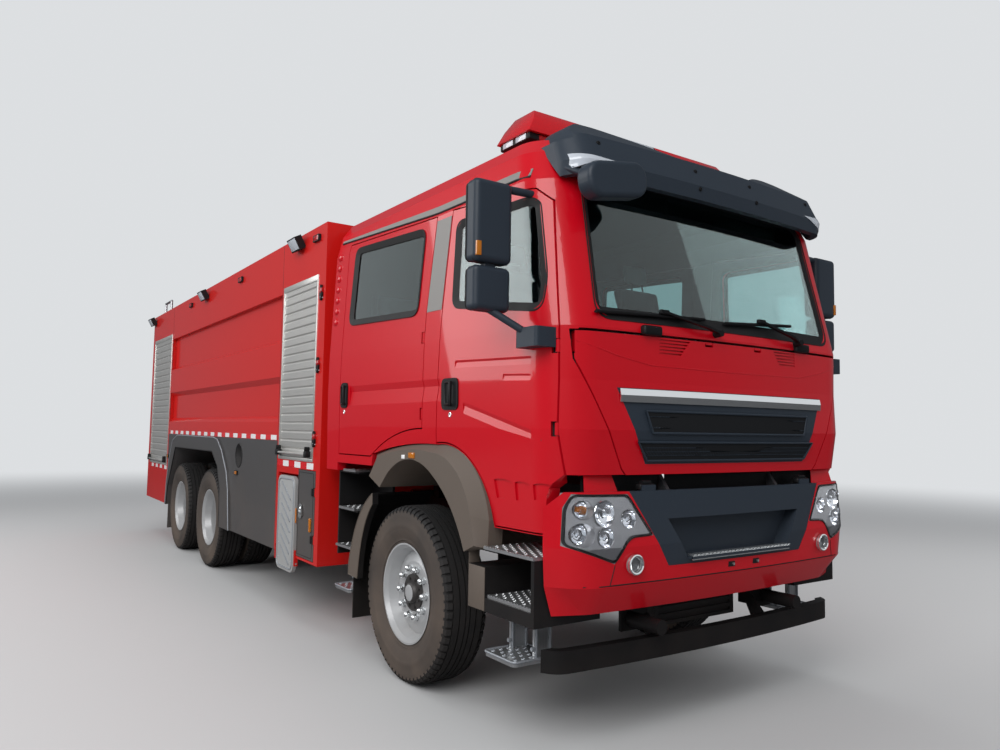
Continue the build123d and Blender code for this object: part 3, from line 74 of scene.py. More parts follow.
class TruckPaint(bpy.types.PropertyGroup):
    """Colours of the truck's finishes."""
    cab_red: colour_prop("Cab red", "Gloss paint of the cab and bumper", (0.50, 0.0015, 0.009))
    body_red: colour_prop("Body red", "Gloss paint of the tank and equipment modules", (0.54, 0.009, 0.007))
    skirt_grey: colour_prop("Skirt grey", "Metallic paint of the low side panels", (0.085, 0.083, 0.085))
    dark_plastic: colour_prop("Dark plastic", "Moulded visor, mirrors and grille", (0.024, 0.033, 0.046))
    arch_grey: colour_prop("Arch grey", "Moulded wheel arch lips", (0.112, 0.090, 0.074))
    frame_black: colour_prop("Frame black", "Chassis paint", (0.006, 0.006, 0.007))
    rubber: colour_prop("Rubber", "Tyres and seals", (0.009, 0.009, 0.010))
    dust: colour_prop("Dust", "Dried road dust", (0.16, 0.115, 0.085))
    rim_silver: colour_prop("Rim silver", "Paint of the wheel rims", (0.44, 0.45, 0.46))
    glass_tint: colour_prop("Glass tint", "Colour seen through the cab glass", (0.42, 0.60, 0.60))


class TruckSizes(bpy.types.PropertyGroup):
    """Sizes of the truck's smaller fittings."""
    groove_depth: bpy.props.FloatProperty(name="Groove depth", description="Depth of the tyre tread grooves",
                                          default=0.014, min=0.002, max=0.03, unit="LENGTH")
    shoulder_blocks: bpy.props.IntProperty(name="Shoulder blocks",
                                           description="Blocks round a tyre's shoulder",
                                           default=66, min=24, max=120)
    seal_width: bpy.props.FloatProperty(name="Seal width", description="Width of the side window seals",
                                        default=0.034, min=0.01, max=0.06, unit="LENGTH")
    strip_square: bpy.props.FloatProperty(name="Strip square", description="Length of one reflective square",
                                          default=0.15, min=0.03, max=0.3, unit="LENGTH")


class TruckStage(bpy.types.PropertyGroup):
    """Floor, light and camera."""
    floor_shade: bpy.props.FloatProperty(name="Floor shade", description="Brightness of the floor",
                                         default=0.50, min=0.0, max=1.0, subtype="FACTOR")
    key_power: bpy.props.FloatProperty(name="Key power", description="Power of the main soft light",
                                       default=760.0, min=0.0, unit="POWER")
    lens: bpy.props.FloatProperty(name="Lens", description="Focal length on a 36 mm wide sensor",
                                  default=27.504, min=10.0, max=200.0, unit="CAMERA")


# Shader groups
def put(tree, kind, feeds, **settings):
    """A shader node with its settings, and a value or a link for each input that is named or numbered."""
    node = tree.nodes.new(f"ShaderNode{kind}")
    for word, value in settings.items():
        setattr(node, word, value)
    for key, value in feeds.items():
        if isinstance(value, bpy.types.NodeSocket):
            tree.links.new(value, node.inputs[key])
        else:
            node.inputs[key].default_value = value
    return node


def worked(tree, operation, first, second, **settings):
    """Result of a Math node on two values or sockets."""
    return put(tree, "Math", {0: first, 1: second}, operation=operation, **settings).outputs[0]


def object_place(tree):
    """Socket of the Object coordinates."""
    return put(tree, "TexCoord", {}).outputs["Object"]


def group_with(name, inputs, outputs):
    """An empty shader group with named sockets; returns the group and the sockets at its two ends."""
    group = bpy.data.node_groups.new(name, "ShaderNodeTree")
    for label, kind, value in inputs:
        socket = group.interface.new_socket(name=label, in_out="INPUT", socket_type=f"NodeSocket{kind}")
        socket.default_value = value
    for label, kind in outputs:
        group.interface.new_socket(name=label, in_out="OUTPUT", socket_type=f"NodeSocket{kind}")
    return group, group.nodes.new("NodeGroupInput").outputs, group.nodes.new("NodeGroupOutput").inputs


def road_dust_group():
    """Dust that thins out with height, broken up by a soft noise."""
    group, source, result = group_with(
        "Road dust",
        (("Colour", "Color", (0.5, 0.5, 0.5, 1)), ("Dust", "Color", (0.16, 0.115, 0.085, 1)),
         ("Amount", "Float", 0.3), ("Top", "Float", 1.4), ("Scale", "Float", 6.0),
         ("Gloss roughness", "Float", 0.2)),
        (("Colour", "Color"), ("Roughness", "Float")))
    place = object_place(group)
    split = put(group, "SeparateXYZ", {0: place})
    height = put(group, "MapRange", {"Value": split.outputs["Z"], "From Max": source["Top"],
                                     "To Min": 1.0, "To Max": 0.0})
    noise = put(group, "TexNoise", {"Vector": place, "Scale": source["Scale"], "Detail": 6.0})
    patches = put(group, "MapRange", {"Value": noise.outputs["Fac"], "From Min": 0.3, "From Max": 0.75,
                                      "To Min": 0.35})
    thick = worked(group, "MULTIPLY", height.outputs[0], patches.outputs[0])
    mask = worked(group, "MULTIPLY", thick, source["Amount"], use_clamp=True)
    blend = put(group, "Mix", {"Factor": mask, "A": source["Colour"], "B": source["Dust"]}, data_type="RGBA")
    rough = put(group, "MapRange", {"Value": mask, "To Min": source["Gloss roughness"], "To Max": 0.9})
    group.links.new(blend.outputs["Result"], result["Colour"])
    group.links.new(rough.outputs[0], result["Roughness"])
    return group


def relief_ends(group, source, result, shade, distance):
    """End a relief group: its shade, and the normal of a bump made from it."""
    bump = put(group, "Bump", {"Height": shade, "Strength": source["Strength"], "Distance": distance})
    group.links.new(bump.outputs[0], result["Normal"])
    group.links.new(shade, result["Shade"])
    return group


RELIEF_SOCKETS = (("Normal", "Vector"), ("Shade", "Float"))


def grain_group():
    """Fine moulded or cast grain as a normal."""
    group, source, result = group_with(
        "Fine grain", (("Scale", "Float", 400.0), ("Strength", "Float", 0.2), ("Distance", "Float", 0.001)),
        RELIEF_SOCKETS)
    noise = put(group, "TexNoise", {"Vector": object_place(group), "Scale": source["Scale"], "Detail": 3.0})
    return relief_ends(group, source, result, noise.outputs["Fac"], source["Distance"])


def brushed_group():
    """Drawn metal: a noise stretched along one axis, as a shade and a normal."""
    group, source, result = group_with(
        "Drawn metal", (("Along", "Vector", (4.0, 4.0, 300.0)), ("Strength", "Float", 0.1)), RELIEF_SOCKETS)
    stretch = put(group, "VectorMath", {0: object_place(group), 1: source["Along"]}, operation="MULTIPLY")
    noise = put(group, "TexNoise", {"Vector": stretch.outputs[0], "Scale": 1.0, "Detail": 4.0})
    return relief_ends(group, source, result, noise.outputs["Fac"], 0.0006)


def cloth_group():
    """Plain weave of crossing yarns."""
    group, source, result = group_with(
        "Plain weave", (("Scale", "Float", 700.0), ("Strength", "Float", 0.4)), RELIEF_SOCKETS)
    place = object_place(group)
    yarns = [put(group, "TexWave", {"Vector": place, "Scale": source["Scale"], "Distortion": 0.6},
                 bands_direction=direction).outputs["Fac"] for direction in ("X", "Z")]
    return relief_ends(group, source, result, worked(group, "MULTIPLY", *yarns), 0.0012)


# Planes just inside the cab's skin, as (|x|, y, z) factors and a limit, in metres
LINING_PLANES = (((1.0, -0.0245, 0.040), 1.345), ((1.357, -0.022, 1.0), 4.554), ((0.0, 0.0, 1.0), 3.100),
                 ((0.0, 0.0, -1.0), -1.500), ((0.0, 1.0, 0.0), -2.125),
                 ((0.0, -1.0, 0.0), 4.772), ((0.0, -1.0, 0.235), 5.260), ((0.0, -1.0, 0.5), 6.010),
                 ((0.0, -1.0, 0.895), 7.195),
                 ((0.25, -1.0, 0.0), 4.981), ((0.25, -1.0, 0.2373), 5.465), ((0.25, -1.0, 0.519), 6.262),
                 ((0.25, -1.0, 0.979), 7.642),
                 ((1.0, -1.0, 0.0), 5.768), ((1.0, -1.0, 0.2553), 6.293), ((1.0, -1.0, 0.639), 7.379),
                 ((1.0, -1.0, 1.419), 9.718))
# Reach of the tilt lugs across and upwards; the lugs get the dark lining colour as painted shade, for the
# shadow they sit in under the cab
LUG_HALF = 0.52
LUG_TOP = 1.475


def lining_and_lug_shade_group():
    """Mask that is white inside the planes that lie within the cab's walls, for the dark lining, and on its
    tilt lugs, where it paints shade.
    """
    group, source, result = group_with("Cab lining", (("Hardness", "Float", 400.0),), (("Mask", "Float"),))
    place = object_place(group)
    fold = put(group, "VectorMath", {0: place}, operation="ABSOLUTE")
    folded = put(group, "SeparateXYZ", {0: fold.outputs[0]}).outputs
    split = put(group, "SeparateXYZ", {0: place}).outputs
    point = put(group, "CombineXYZ", {"X": folded["X"], "Y": split["Y"], "Z": split["Z"]}).outputs[0]
    inside = None
    for factors, limit in LINING_PLANES:
        dot = put(group, "VectorMath", {0: point, 1: factors}, operation="DOT_PRODUCT").outputs["Value"]
        gap = worked(group, "SUBTRACT", limit, dot)
        inside = worked(group, "MINIMUM", inside, gap) if inside else gap
    # Painted shade: the tilt lugs take the lining's dark colour because they lie in shadow under the cab.
    lug_shade = worked(group, "MINIMUM", worked(group, "SUBTRACT", LUG_HALF, folded["X"]),
                  worked(group, "SUBTRACT", LUG_TOP, folded["Z"]))
    dark = worked(group, "MAXIMUM", inside, lug_shade)
    mask = worked(group, "MULTIPLY", dark, source["Hardness"], use_clamp=True)
    group.links.new(mask, result["Mask"])
    return group


GROUPS = {}


def shared(builder):
    """A shader group built once."""
    if builder not in GROUPS:
        GROUPS[builder] = builder()
    return GROUPS[builder]


# Finishes
FINISHES = {}


def finish_shader(name, base, roughness, **sockets):
    """A material with one Principled BSDF and its plain values."""
    material = bpy.data.materials.new(name)
    material.use_nodes = True
    shader = material.node_tree.nodes["Principled BSDF"]
    shader.inputs["Base Color"].default_value = (*base, 1.0)
    shader.inputs["Roughness"].default_value = roughness
    for socket, value in sockets.items():
        shader.inputs[socket.replace("_", " ")].default_value = value
    return material.node_tree, shader.inputs


def add_group(tree, builder, **values):
    """Outputs of a group node with its own values."""
    feeds = {socket.replace("_", " "): value for socket, value in values.items()}
    return put(tree, "Group", feeds, node_tree=shared(builder)).outputs


def dusted(tree, inputs, amount, top, scale=6.0):
    """Lay road dust over a finish."""
    dust = add_group(tree, road_dust_group, Colour=tuple(inputs["Base Color"].default_value),
                     Dust=(*bpy.context.scene.truck_paint.dust, 1.0), Amount=amount, Top=top, Scale=scale,
                     Gloss_roughness=inputs["Roughness"].default_value)
    tree.links.new(dust["Colour"], inputs["Base Color"])
    tree.links.new(dust["Roughness"], inputs["Roughness"])
    return dust


def varied(tree, inputs, shade, dark, light):
    """Let a group's shade vary a finish between two colours."""
    blend = put(tree, "Mix", {"Factor": shade, "A": (*dark, 1.0), "B": (*light, 1.0)}, data_type="RGBA")
    tree.links.new(blend.outputs["Result"], inputs["Base Color"])


def keep(name, base, roughness, grain=None, dust=None, **sockets):
    """Keep a finish with its grain (scale, strength, distance) and its dust (amount, top, scale)."""
    tree, inputs = finish_shader(name, base, roughness, **sockets)
    FINISHES[name] = bpy.data.materials[name]
    if grain:
        values = dict(zip(("Scale", "Strength", "Distance"), (*grain, 0.001)))
        tree.links.new(add_group(tree, grain_group, **values)["Normal"], inputs["Normal"])
    if dust:
        dusted(tree, inputs, *dust)
    return tree, inputs


def line_the_cab(tree, inputs):
    """Turn the inside of the cab's painted pieces into dark, dull lining, and paint shade on the tilt lugs in
    the same dark colour.
    """
    dust = next(link.from_socket for link in inputs["Base Color"].links)
    mask = add_group(tree, lining_and_lug_shade_group)["Mask"]
    # The dark lining colour also stands as painted shade on the tilt lugs.
    blend = put(tree, "Mix", {"Factor": mask, "A": dust, "B": (0.050, 0.050, 0.054, 1.0)}, data_type="RGBA")
    tree.links.new(blend.outputs["Result"], inputs["Base Color"])
    coat = inputs["Coat Weight"].default_value
    gloss = put(tree, "Math", {0: mask, 1: -coat, 2: coat}, operation="MULTIPLY_ADD")
    tree.links.new(gloss.outputs[0], inputs["Coat Weight"])


def make_finishes():
    """Every finish of the truck, by a maker's plain name."""
    paint = bpy.context.scene.truck_paint
    gloss = {"Coat_Weight": 0.55, "Coat_Roughness": 0.03, "Specular_IOR_Level": 0.22}
    for name, base, top in (("cab red paint", paint.cab_red, 1.0), ("body red paint", paint.body_red, 1.2),
                            ("cab paint with lining and lug shade", paint.cab_red, 1.0)):
        tree, inputs = keep(name, base, 0.30, (14.0, 0.04, 0.004), (0.06, top), **gloss)
    line_the_cab(tree, inputs)
    keep("skirt grey paint", paint.skirt_grey, 0.42, (900.0, 0.1), (0.5, 1.5, 3.0),
         Metallic=0.35, Coat_Weight=0.3, Coat_Roughness=0.2)
    keep("frame black paint", paint.frame_black, 0.45, (120.0, 0.12), (0.10, 1.1, 5.0),
         Specular_IOR_Level=0.25)
    keep("cast black iron", (0.016, 0.016, 0.018), 0.6, (260.0, 0.5, 0.002), (0.3, 1.1, 7.0), Metallic=0.3)
    for name, base, rough, dust in (("moulded dark plastic", paint.dark_plastic, 0.42, (0.12, 1.3)),
                                    ("moulded black plastic", (0.007, 0.007, 0.008), 0.5, (0.12, 1.3)),
                                    ("grey arch plastic", paint.arch_grey, 0.5, (0.12, 1.3)),
                                    ("cabin trim plastic", (0.05, 0.052, 0.056), 0.6, None)):
        keep(name, base, rough, (520.0, 0.16), dust, Specular_IOR_Level=0.3)
    keep("seal rubber", (0.010, 0.010, 0.011), 0.62, (300.0, 0.15))
    keep("tread rubber", paint.rubber, 0.75, (180.0, 0.5, 0.002), (0.12, 1.3, 9.0))
    keep("sidewall rubber", [1.5 * part for part in paint.rubber], 0.7, (240.0, 0.3), (0.75, 2.4, 3.0))
    keep("rim silver paint", paint.rim_silver, 0.35, (30.0, 0.05), (0.35, 1.1, 5.0),
         Metallic=0.25, Coat_Weight=0.3, Coat_Roughness=0.15)
    keep("hub iron", (0.075, 0.070, 0.068), 0.5, (200.0, 0.4), Metallic=0.6)
    keep("cast aluminium", (0.36, 0.38, 0.41), 0.5, (300.0, 0.35), Metallic=0.6)
    keep("pale cast aluminium", (0.42, 0.43, 0.43), 0.5, (300.0, 0.3), (0.4, 1.4), Metallic=0.3)
    for name, rough, metal, along, strength, dark, light in (
            ("tread aluminium", 0.3, 0.9, (220.0, 6.0, 6.0), 0.12, (0.48, 0.49, 0.50), (0.74, 0.75, 0.76)),
            ("shutter aluminium", 0.36, 0.75, (3.0, 3.0, 260.0), 0.1, (0.58, 0.57, 0.55), (0.76, 0.75, 0.72)),
            ("ladder steel", 0.3, 0.95, (160.0, 160.0, 5.0), 0.1, (0.42, 0.42, 0.44), (0.62, 0.62, 0.64))):
        tree, inputs = keep(name, light, rough, Metallic=metal)
        lines = add_group(tree, brushed_group, Along=along, Strength=strength)
        tree.links.new(lines["Normal"], inputs["Normal"])
        varied(tree, inputs, lines["Shade"], dark, light)
    keep("bright chrome", (0.80, 0.82, 0.83), 0.0, (8.0, 0.02, 0.002), Metallic=0.9)
    keep("lamp silver", (0.86, 0.87, 0.89), 0.10, (60.0, 0.12), Metallic=1.0)
    keep("lamp housing", (0.46, 0.46, 0.47), 0.26, (50.0, 0.06), Metallic=0.6)
    for name, base, weight, rough in (("clear lens", (0.93, 0.95, 0.97), 0.97, 0.02),
                                      ("amber lens", (0.95, 0.30, 0.02), 0.55, 0.08),
                                      ("red lens", (0.62, 0.01, 0.015), 0.45, 0.06),
                                      ("beacon red lens", (0.70, 0.012, 0.02), 0.35, 0.07)):
        keep(name, base, rough, (70.0, 0.05), Transmission_Weight=weight, IOR=1.45,
             Coat_Weight=0.6, Coat_Roughness=0.03)
    keep("cab glass", paint.glass_tint, 0.0, (1.5, 0.02, 0.004),
         Transmission_Weight=1.0, IOR=1.55, Specular_IOR_Level=1.0)
    keep("cover glass", (0.97, 0.98, 1.0), 0.0, (4.0, 0.02, 0.002), Transmission_Weight=1.0, IOR=1.2)
    keep("mirror glass", (0.75, 0.79, 0.82), 0.02, (3.0, 0.01), Metallic=1.0)
    tree, inputs = keep("seat cloth", (0.055, 0.056, 0.062), 0.9, Sheen_Weight=0.4)
    weave = add_group(tree, cloth_group, Scale=330.0, Strength=0.5)
    tree.links.new(weave["Normal"], inputs["Normal"])
    varied(tree, inputs, weave["Shade"], (0.035, 0.036, 0.042), (0.085, 0.086, 0.094))
    tree, inputs = keep("belt webbing", (0.02, 0.02, 0.022), 0.75, Sheen_Weight=0.3)
    tree.links.new(add_group(tree, cloth_group, Scale=900.0, Strength=0.6)["Normal"], inputs["Normal"])
    keep("grille shade", (0.004, 0.005, 0.007), 0.85, (300.0, 0.2))
    keep("cabin screen", (0.008, 0.010, 0.014), 0.08, (20.0, 0.02), Coat_Weight=1.0)
    for name, base in (("reflective white", (0.80, 0.80, 0.80)), ("reflective red", (0.65, 0.01, 0.015))):
        keep(name, base, 0.25, (500.0, 0.25), Coat_Weight=0.5, Coat_Roughness=0.1)
    keep("pillar grey paint", (0.20, 0.19, 0.18), 0.45, (400.0, 0.1))
    keep("frosted lens", (0.62, 0.66, 0.72), 0.12, (160.0, 0.25), Transmission_Weight=0.25, Coat_Weight=0.6)
    keep("white cover", (0.62, 0.64, 0.66), 0.7, (60.0, 0.3, 0.003))


# Nodes that keep their own shape, by finish
NODE_FINISH = {
    "cab red paint": ("front_panel", "bumper"),
    "cab paint with lining and lug shade": ("cab_shell", "door_front_right", "door_front_left", "door_rear_right",
                        "door_rear_left"),
    "body red paint": ("equipment_boxes", "tank_section", "monitor_head", "monitor_barrel"),
    "skirt grey paint": ("side_skirts", "locker_door_right", "locker_door_left"),
    "frame black paint": ("chassis_frame", "underrun_bars", "under_tanks"),
    "cast black iron": ("axles", "engine_block", "knuckle_right", "knuckle_left", "tie_rod", "radiator"),
    "moulded dark plastic": ("sun_visor", "mirror_right", "mirror_left", "front_grille", "bumper_grille"),
    "moulded black plastic": ("step_boxes", "body_lamps"),
    "grey arch plastic": ("wheel_arches",),
    "cabin trim plastic": ("dashboard",),
    "tread aluminium": ("step_treads",),
    "pale cast aluminium": ("step_board_right", "step_board_left"),
    "shutter aluminium": ("roller_shutters",),
    "ladder steel": ("rear_ladder", "manhole_lid"),
    "rim silver paint": ("rim_front_right", "rim_front_left", "rim_rear_1_right", "rim_rear_1_left",
                         "rim_rear_2_right", "rim_rear_2_left"),
    "lamp housing": ("headlamps",),
    "beacon red lens": ("light_bar",),
    "cab glass": ("windscreen", "glass_front_right", "glass_front_left", "glass_rear_right",
                  "glass_rear_left"),
}


# Mesh helpers
def blanks(count):
    """Several empty meshes."""
    return [bmesh.new() for _ in range(count)]


def add_box(bm, low, high, bevel=0.0, turn=None, segments=2):
    """Box between two corners, turned about its middle, with rounded edges."""
    size = [max(b - a, 1e-5) for a, b in zip(low, high)]
    middle = Vector([(a + b) / 2 for a, b in zip(low, high)])
    place = Matrix.Translation(middle) @ (turn or Matrix()) @ Matrix.Diagonal((*size, 1.0))
    verts = bmesh.ops.create_cube(bm, size=1.0, matrix=place)["verts"]
    if bevel:
        edges = list({edge for vert in verts for edge in vert.link_edges})
        bmesh.ops.bevel(bm, geom=edges, offset=bevel, offset_type="OFFSET", segments=segments, affect="EDGES",
                        profile=0.5, material=-1, clamp_overlap=True)


def add_block(bm, x, y, z, bevel=0.0, turn=None, segments=2):
    """Box from its spans across (in either order), aft of the front axle and up."""
    add_box(bm, (min(x), aft(y[0]), z[0]), (max(x), aft(y[1]), z[1]), bevel, turn, segments)


def add_lump(bm, spot, half, bevel=0.0, turn=None):
    """Box about a middle, from half its size."""
    add_box(bm, spot - Vector(half), spot + Vector(half), bevel, turn)


def span(middle, half):
    """Two ends about a middle."""
    return middle - half, middle + half


def along(start, end):
    """Turn and place that take the Z axis onto the line between two points, and its length."""
    start, end = Vector(start), Vector(end)
    path = end - start
    turn = path.to_track_quat("Z", "Y").to_matrix().to_4x4()
    return Matrix.Translation((start + end) / 2) @ turn, path.length


def add_rod(bm, start, end, radius, end_radius=None, sides=20):
    """Round bar or cone between two points."""
    place, reach = along(start, end)
    bmesh.ops.create_cone(bm, cap_ends=True, segments=sides, radius1=radius,
                          radius2=radius if end_radius is None else end_radius, depth=reach, matrix=place)


def add_lathe(bm, profile, centre, axis, steps=48, closed=False):
    """Profile of (distance along the axis, radius), spun about the axis through the centre."""
    centre, axis = Vector(centre), Vector(axis).normalized()
    across = axis.orthogonal().normalized()
    first = len(bm.verts)
    verts = [bm.verts.new(centre + axis * a + across * max(r, 0.0)) for a, r in profile]
    edges = chain(bm, verts, closed)
    bmesh.ops.spin(bm, geom=verts + edges, cent=centre, axis=axis, dvec=(0, 0, 0), angle=2 * math.pi,
                   steps=steps, use_merge=True, use_normal_flip=False, use_duplicate=False)
    bmesh.ops.remove_doubles(bm, verts=list(bm.verts)[first:], dist=1e-6)


def chain(bm, verts, closed):
    """Edges from each corner to the next."""
    pairs = list(zip(verts, verts[1:]))
    if closed:
        pairs.append((verts[-1], verts[0]))
    return [bm.edges.new(pair) for pair in pairs]


def add_plate(bm, points, shift):
    """Flat plate: a face through the points, thickened by a vector."""
    face = bm.faces.new([bm.verts.new(point) for point in points])
    grown_out = bmesh.ops.extrude_face_region(bm, geom=[face])["geom"]
    bmesh.ops.translate(bm, vec=Vector(shift),
                        verts=[g for g in grown_out if isinstance(g, bmesh.types.BMVert)])


def add_tube(bm, points, radius, closed=False):
    """Round tube along straight runs."""
    curve = bpy.data.curves.new("run", "CURVE")
    curve.dimensions = "3D"
    curve.bevel_depth = radius
    curve.bevel_resolution = 3
    curve.use_fill_caps = True
    spline = curve.splines.new("POLY")
    spline.points.add(len(points) - 1)
    for control, point in zip(spline.points, points):
        control.co = (*point, 1.0)
    spline.use_cyclic_u = closed
    holder = bpy.data.objects.new("run", curve)
    mesh = bpy.data.meshes.new_from_object(holder)
    bm.from_mesh(mesh)
    bpy.data.objects.remove(holder)
    bpy.data.curves.remove(curve)
    bpy.data.meshes.remove(mesh)


def add_mesh(bm, part):
    """Add one mesh to another."""
    mesh = bpy.data.meshes.new("part")
    part.to_mesh(mesh)
    part.free()
    bm.from_mesh(mesh)
    bpy.data.meshes.remove(mesh)


def add_band(bm, outer, inner, thickness, closed=True):
    """Band between two lines of as many points, with a thickness towards its inside."""
    edges = [chain(bm, [bm.verts.new(point) for point in line], closed) for line in (outer, inner)]
    made = bmesh.ops.bridge_loops(bm, edges=edges[0] + edges[1])["faces"]
    bmesh.ops.recalc_face_normals(bm, faces=made)
    bmesh.ops.solidify(bm, geom=made, thickness=thickness)


def finished(bm, name, material, body, replaces=(), smooth=40.0):
    """Turn a mesh into a piece that rides on a body and takes its finishes."""
    bmesh.ops.remove_doubles(bm, verts=bm.verts, dist=1e-6)
    bmesh.ops.recalc_face_normals(bm, faces=bm.faces)
    limit = math.radians(smooth)
    for face in bm.faces:
        face.smooth = True
    for edge in bm.edges:
        edge.smooth = edge.calc_face_angle(math.pi) < limit
    mesh = bpy.data.meshes.new(name)
    bm.to_mesh(mesh)
    bm.free()
    piece = bpy.data.objects.new(name, mesh)
    bpy.context.scene.collection.objects.link(piece)
    for label in (material,) if isinstance(material, str) else material:
        mesh.materials.append(FINISHES[label])
    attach(piece, body)
    if replaces:
        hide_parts(*replaces)


def finished_all(prefix, body, *pieces):
    """Finish several meshes of one body, each given with its name, finish and slot; the slot is not used."""
    for bm, label, material, slot in pieces:
        finished(bm, f"{prefix}.{label}", material, body)


# Lines drawn on the truck's surfaces
def curved(start, pull, end, steps):
    """Points of a bend between two ends, pulled towards a third point."""
    return [start * (1 - t) ** 2 + pull * 2 * t * (1 - t) + end * t ** 2
            for t in (step / steps for step in range(steps + 1))]


def bent(start, passed, end):
    """Points of a smooth bend from one point through another to the last, without the first."""
    start, passed, end = Vector(start), Vector(passed), Vector(end)
    return curved(start, passed * 2 - (start + end) / 2, end, 10)[1:]


def rounded(points, radius, steps=5):
    """Closed outline with its corners rounded."""
    found = []
    for number, corner in enumerate(points):
        corner = Vector(corner)
        before = Vector(points[number - 1]) - corner
        after = Vector(points[(number + 1) % len(points)]) - corner
        reach = min(radius, before.length * 0.45, after.length * 0.45)
        found += curved(corner + before.normalized() * reach, corner, corner + after.normalized() * reach,
                        steps)
    return found


def rounded_box(low, high, radius):
    """Rounded outline between two corners."""
    return rounded((low, (high[0], low[1]), high, (low[0], high[1])), radius)


def grown(points, amount):
    """Closed outline of flat points moved outwards by an amount."""
    area = sum(a[0] * b[1] - b[0] * a[1] for a, b in zip(points, points[1:] + points[:1]))
    sign = 1.0 if area > 0 else -1.0
    found = []
    for number, point in enumerate(points):
        before = (Vector(point) - Vector(points[number - 1])).normalized()
        after = (Vector(points[(number + 1) % len(points)]) - Vector(point)).normalized()
        out_a = Vector((before.y, -before.x)) * sign
        out_b = Vector((after.y, -after.x)) * sign
        mitre = (out_a + out_b)
        mitre = mitre / max(mitre.dot(out_a), 0.3)
        found.append(tuple(Vector(point) + mitre * amount))
    return found


def dense(points, step, closed=True):
    """Outline with more points along its long runs."""
    points = [Vector(point) for point in points]
    found = []
    for start, end in zip(points, points[1:] + points[:1] if closed else points[1:]):
        count = max(1, int((end - start).length / step))
        found.extend(start.lerp(end, number / count) for number in range(count))
    if not closed:
        found.append(points[-1])
    return found


def spaced(points, step):
    """Closed outline with more points along its long runs and none twice."""
    line = [tuple(point) for point in dense(points, step)]
    return [p for n, p in enumerate(line) if (Vector(p) - Vector(line[n - 1])).length > 1e-4]


def surface_of(*names):
    """Search tree over the faces of some nodes."""
    verts, faces = [], []
    for name in names:
        mesh = NODES[name].data
        first = len(verts)
        verts.extend(vert.co.copy() for vert in mesh.vertices)
        faces.extend([first + index for index in face.vertices] for face in mesh.polygons)
    return BVHTree.FromPolygons(verts, faces)


def on_side(tree, side, y, z, lift=0.0):
    """Point on the truck's side at a place aft of the front axle, lifted off the surface."""
    hit = tree.ray_cast(Vector((side * 3.0, aft(y), z)), Vector((-side, 0, 0)))[0]
    if hit is None:
        return Vector((side * 1.2, aft(y), z))
    return hit + Vector((side * lift, 0, 0))


def on_front(tree, x, z, lift=0.0):
    """Point on the truck's front, lifted off the surface."""
    hit = tree.ray_cast(Vector((x, aft(-3.0), z)), Vector((0, 1, 0)))[0]
    if hit is None:
        return Vector((x, aft(-1.55), z))
    return hit + Vector((0, -lift, 0))


def lengthways(x, line):
    """Points of a side-view line of (place aft, height) at a distance from the middle."""
    return [Vector((x, aft(p[0]), p[1])) for p in line]


def crossways(y, line):
    """Points of a front-view line of (distance from the middle, height) at a place aft."""
    return [Vector((p[0], aft(y), p[1])) for p in line]


def side_plate(bm, line, x0, x1):
    """Plate of a side-view outline between two distances from the middle."""
    add_plate(bm, lengthways(x0, line), (x1 - x0, 0, 0))


# Painted nodes
def paint_nodes():
    """Give every node that keeps its shape its finish."""
    for label, names in NODE_FINISH.items():
        for name in names:
            for slot in NODES[name].material_slots:
                slot.material = FINISHES[label]


# Tyres and wheel trim
TYRE_RADIUS = 0.535
RIM_RADIUS = 0.286
TREAD_RIBS = ((-0.094, -0.060), (-0.050, -0.019), (-0.010, 0.010), (0.019, 0.050), (0.060, 0.094))
FRONT_WHEEL = 1.045
REAR_INNER = 0.750
REAR_OUTER = 1.085
REAR_HUB = 0.9175
NUT_CIRCLE = 0.150
NUT_HEIGHT = 0.044
# Rounded end of a wheel nut, as share of its height and radius
NUT_END = ((0.5, 0.0195), (0.8, 0.0175), (0.96, 0.011), (1.0, 0.0))


def around(middle, radius, count, start=0.0):
    """Points of a circle about a wheel's middle."""
    for number in range(count):
        turn = 2 * math.pi * (number + start) / count
        yield middle + Vector((0, math.cos(turn) * radius, math.sin(turn) * radius))


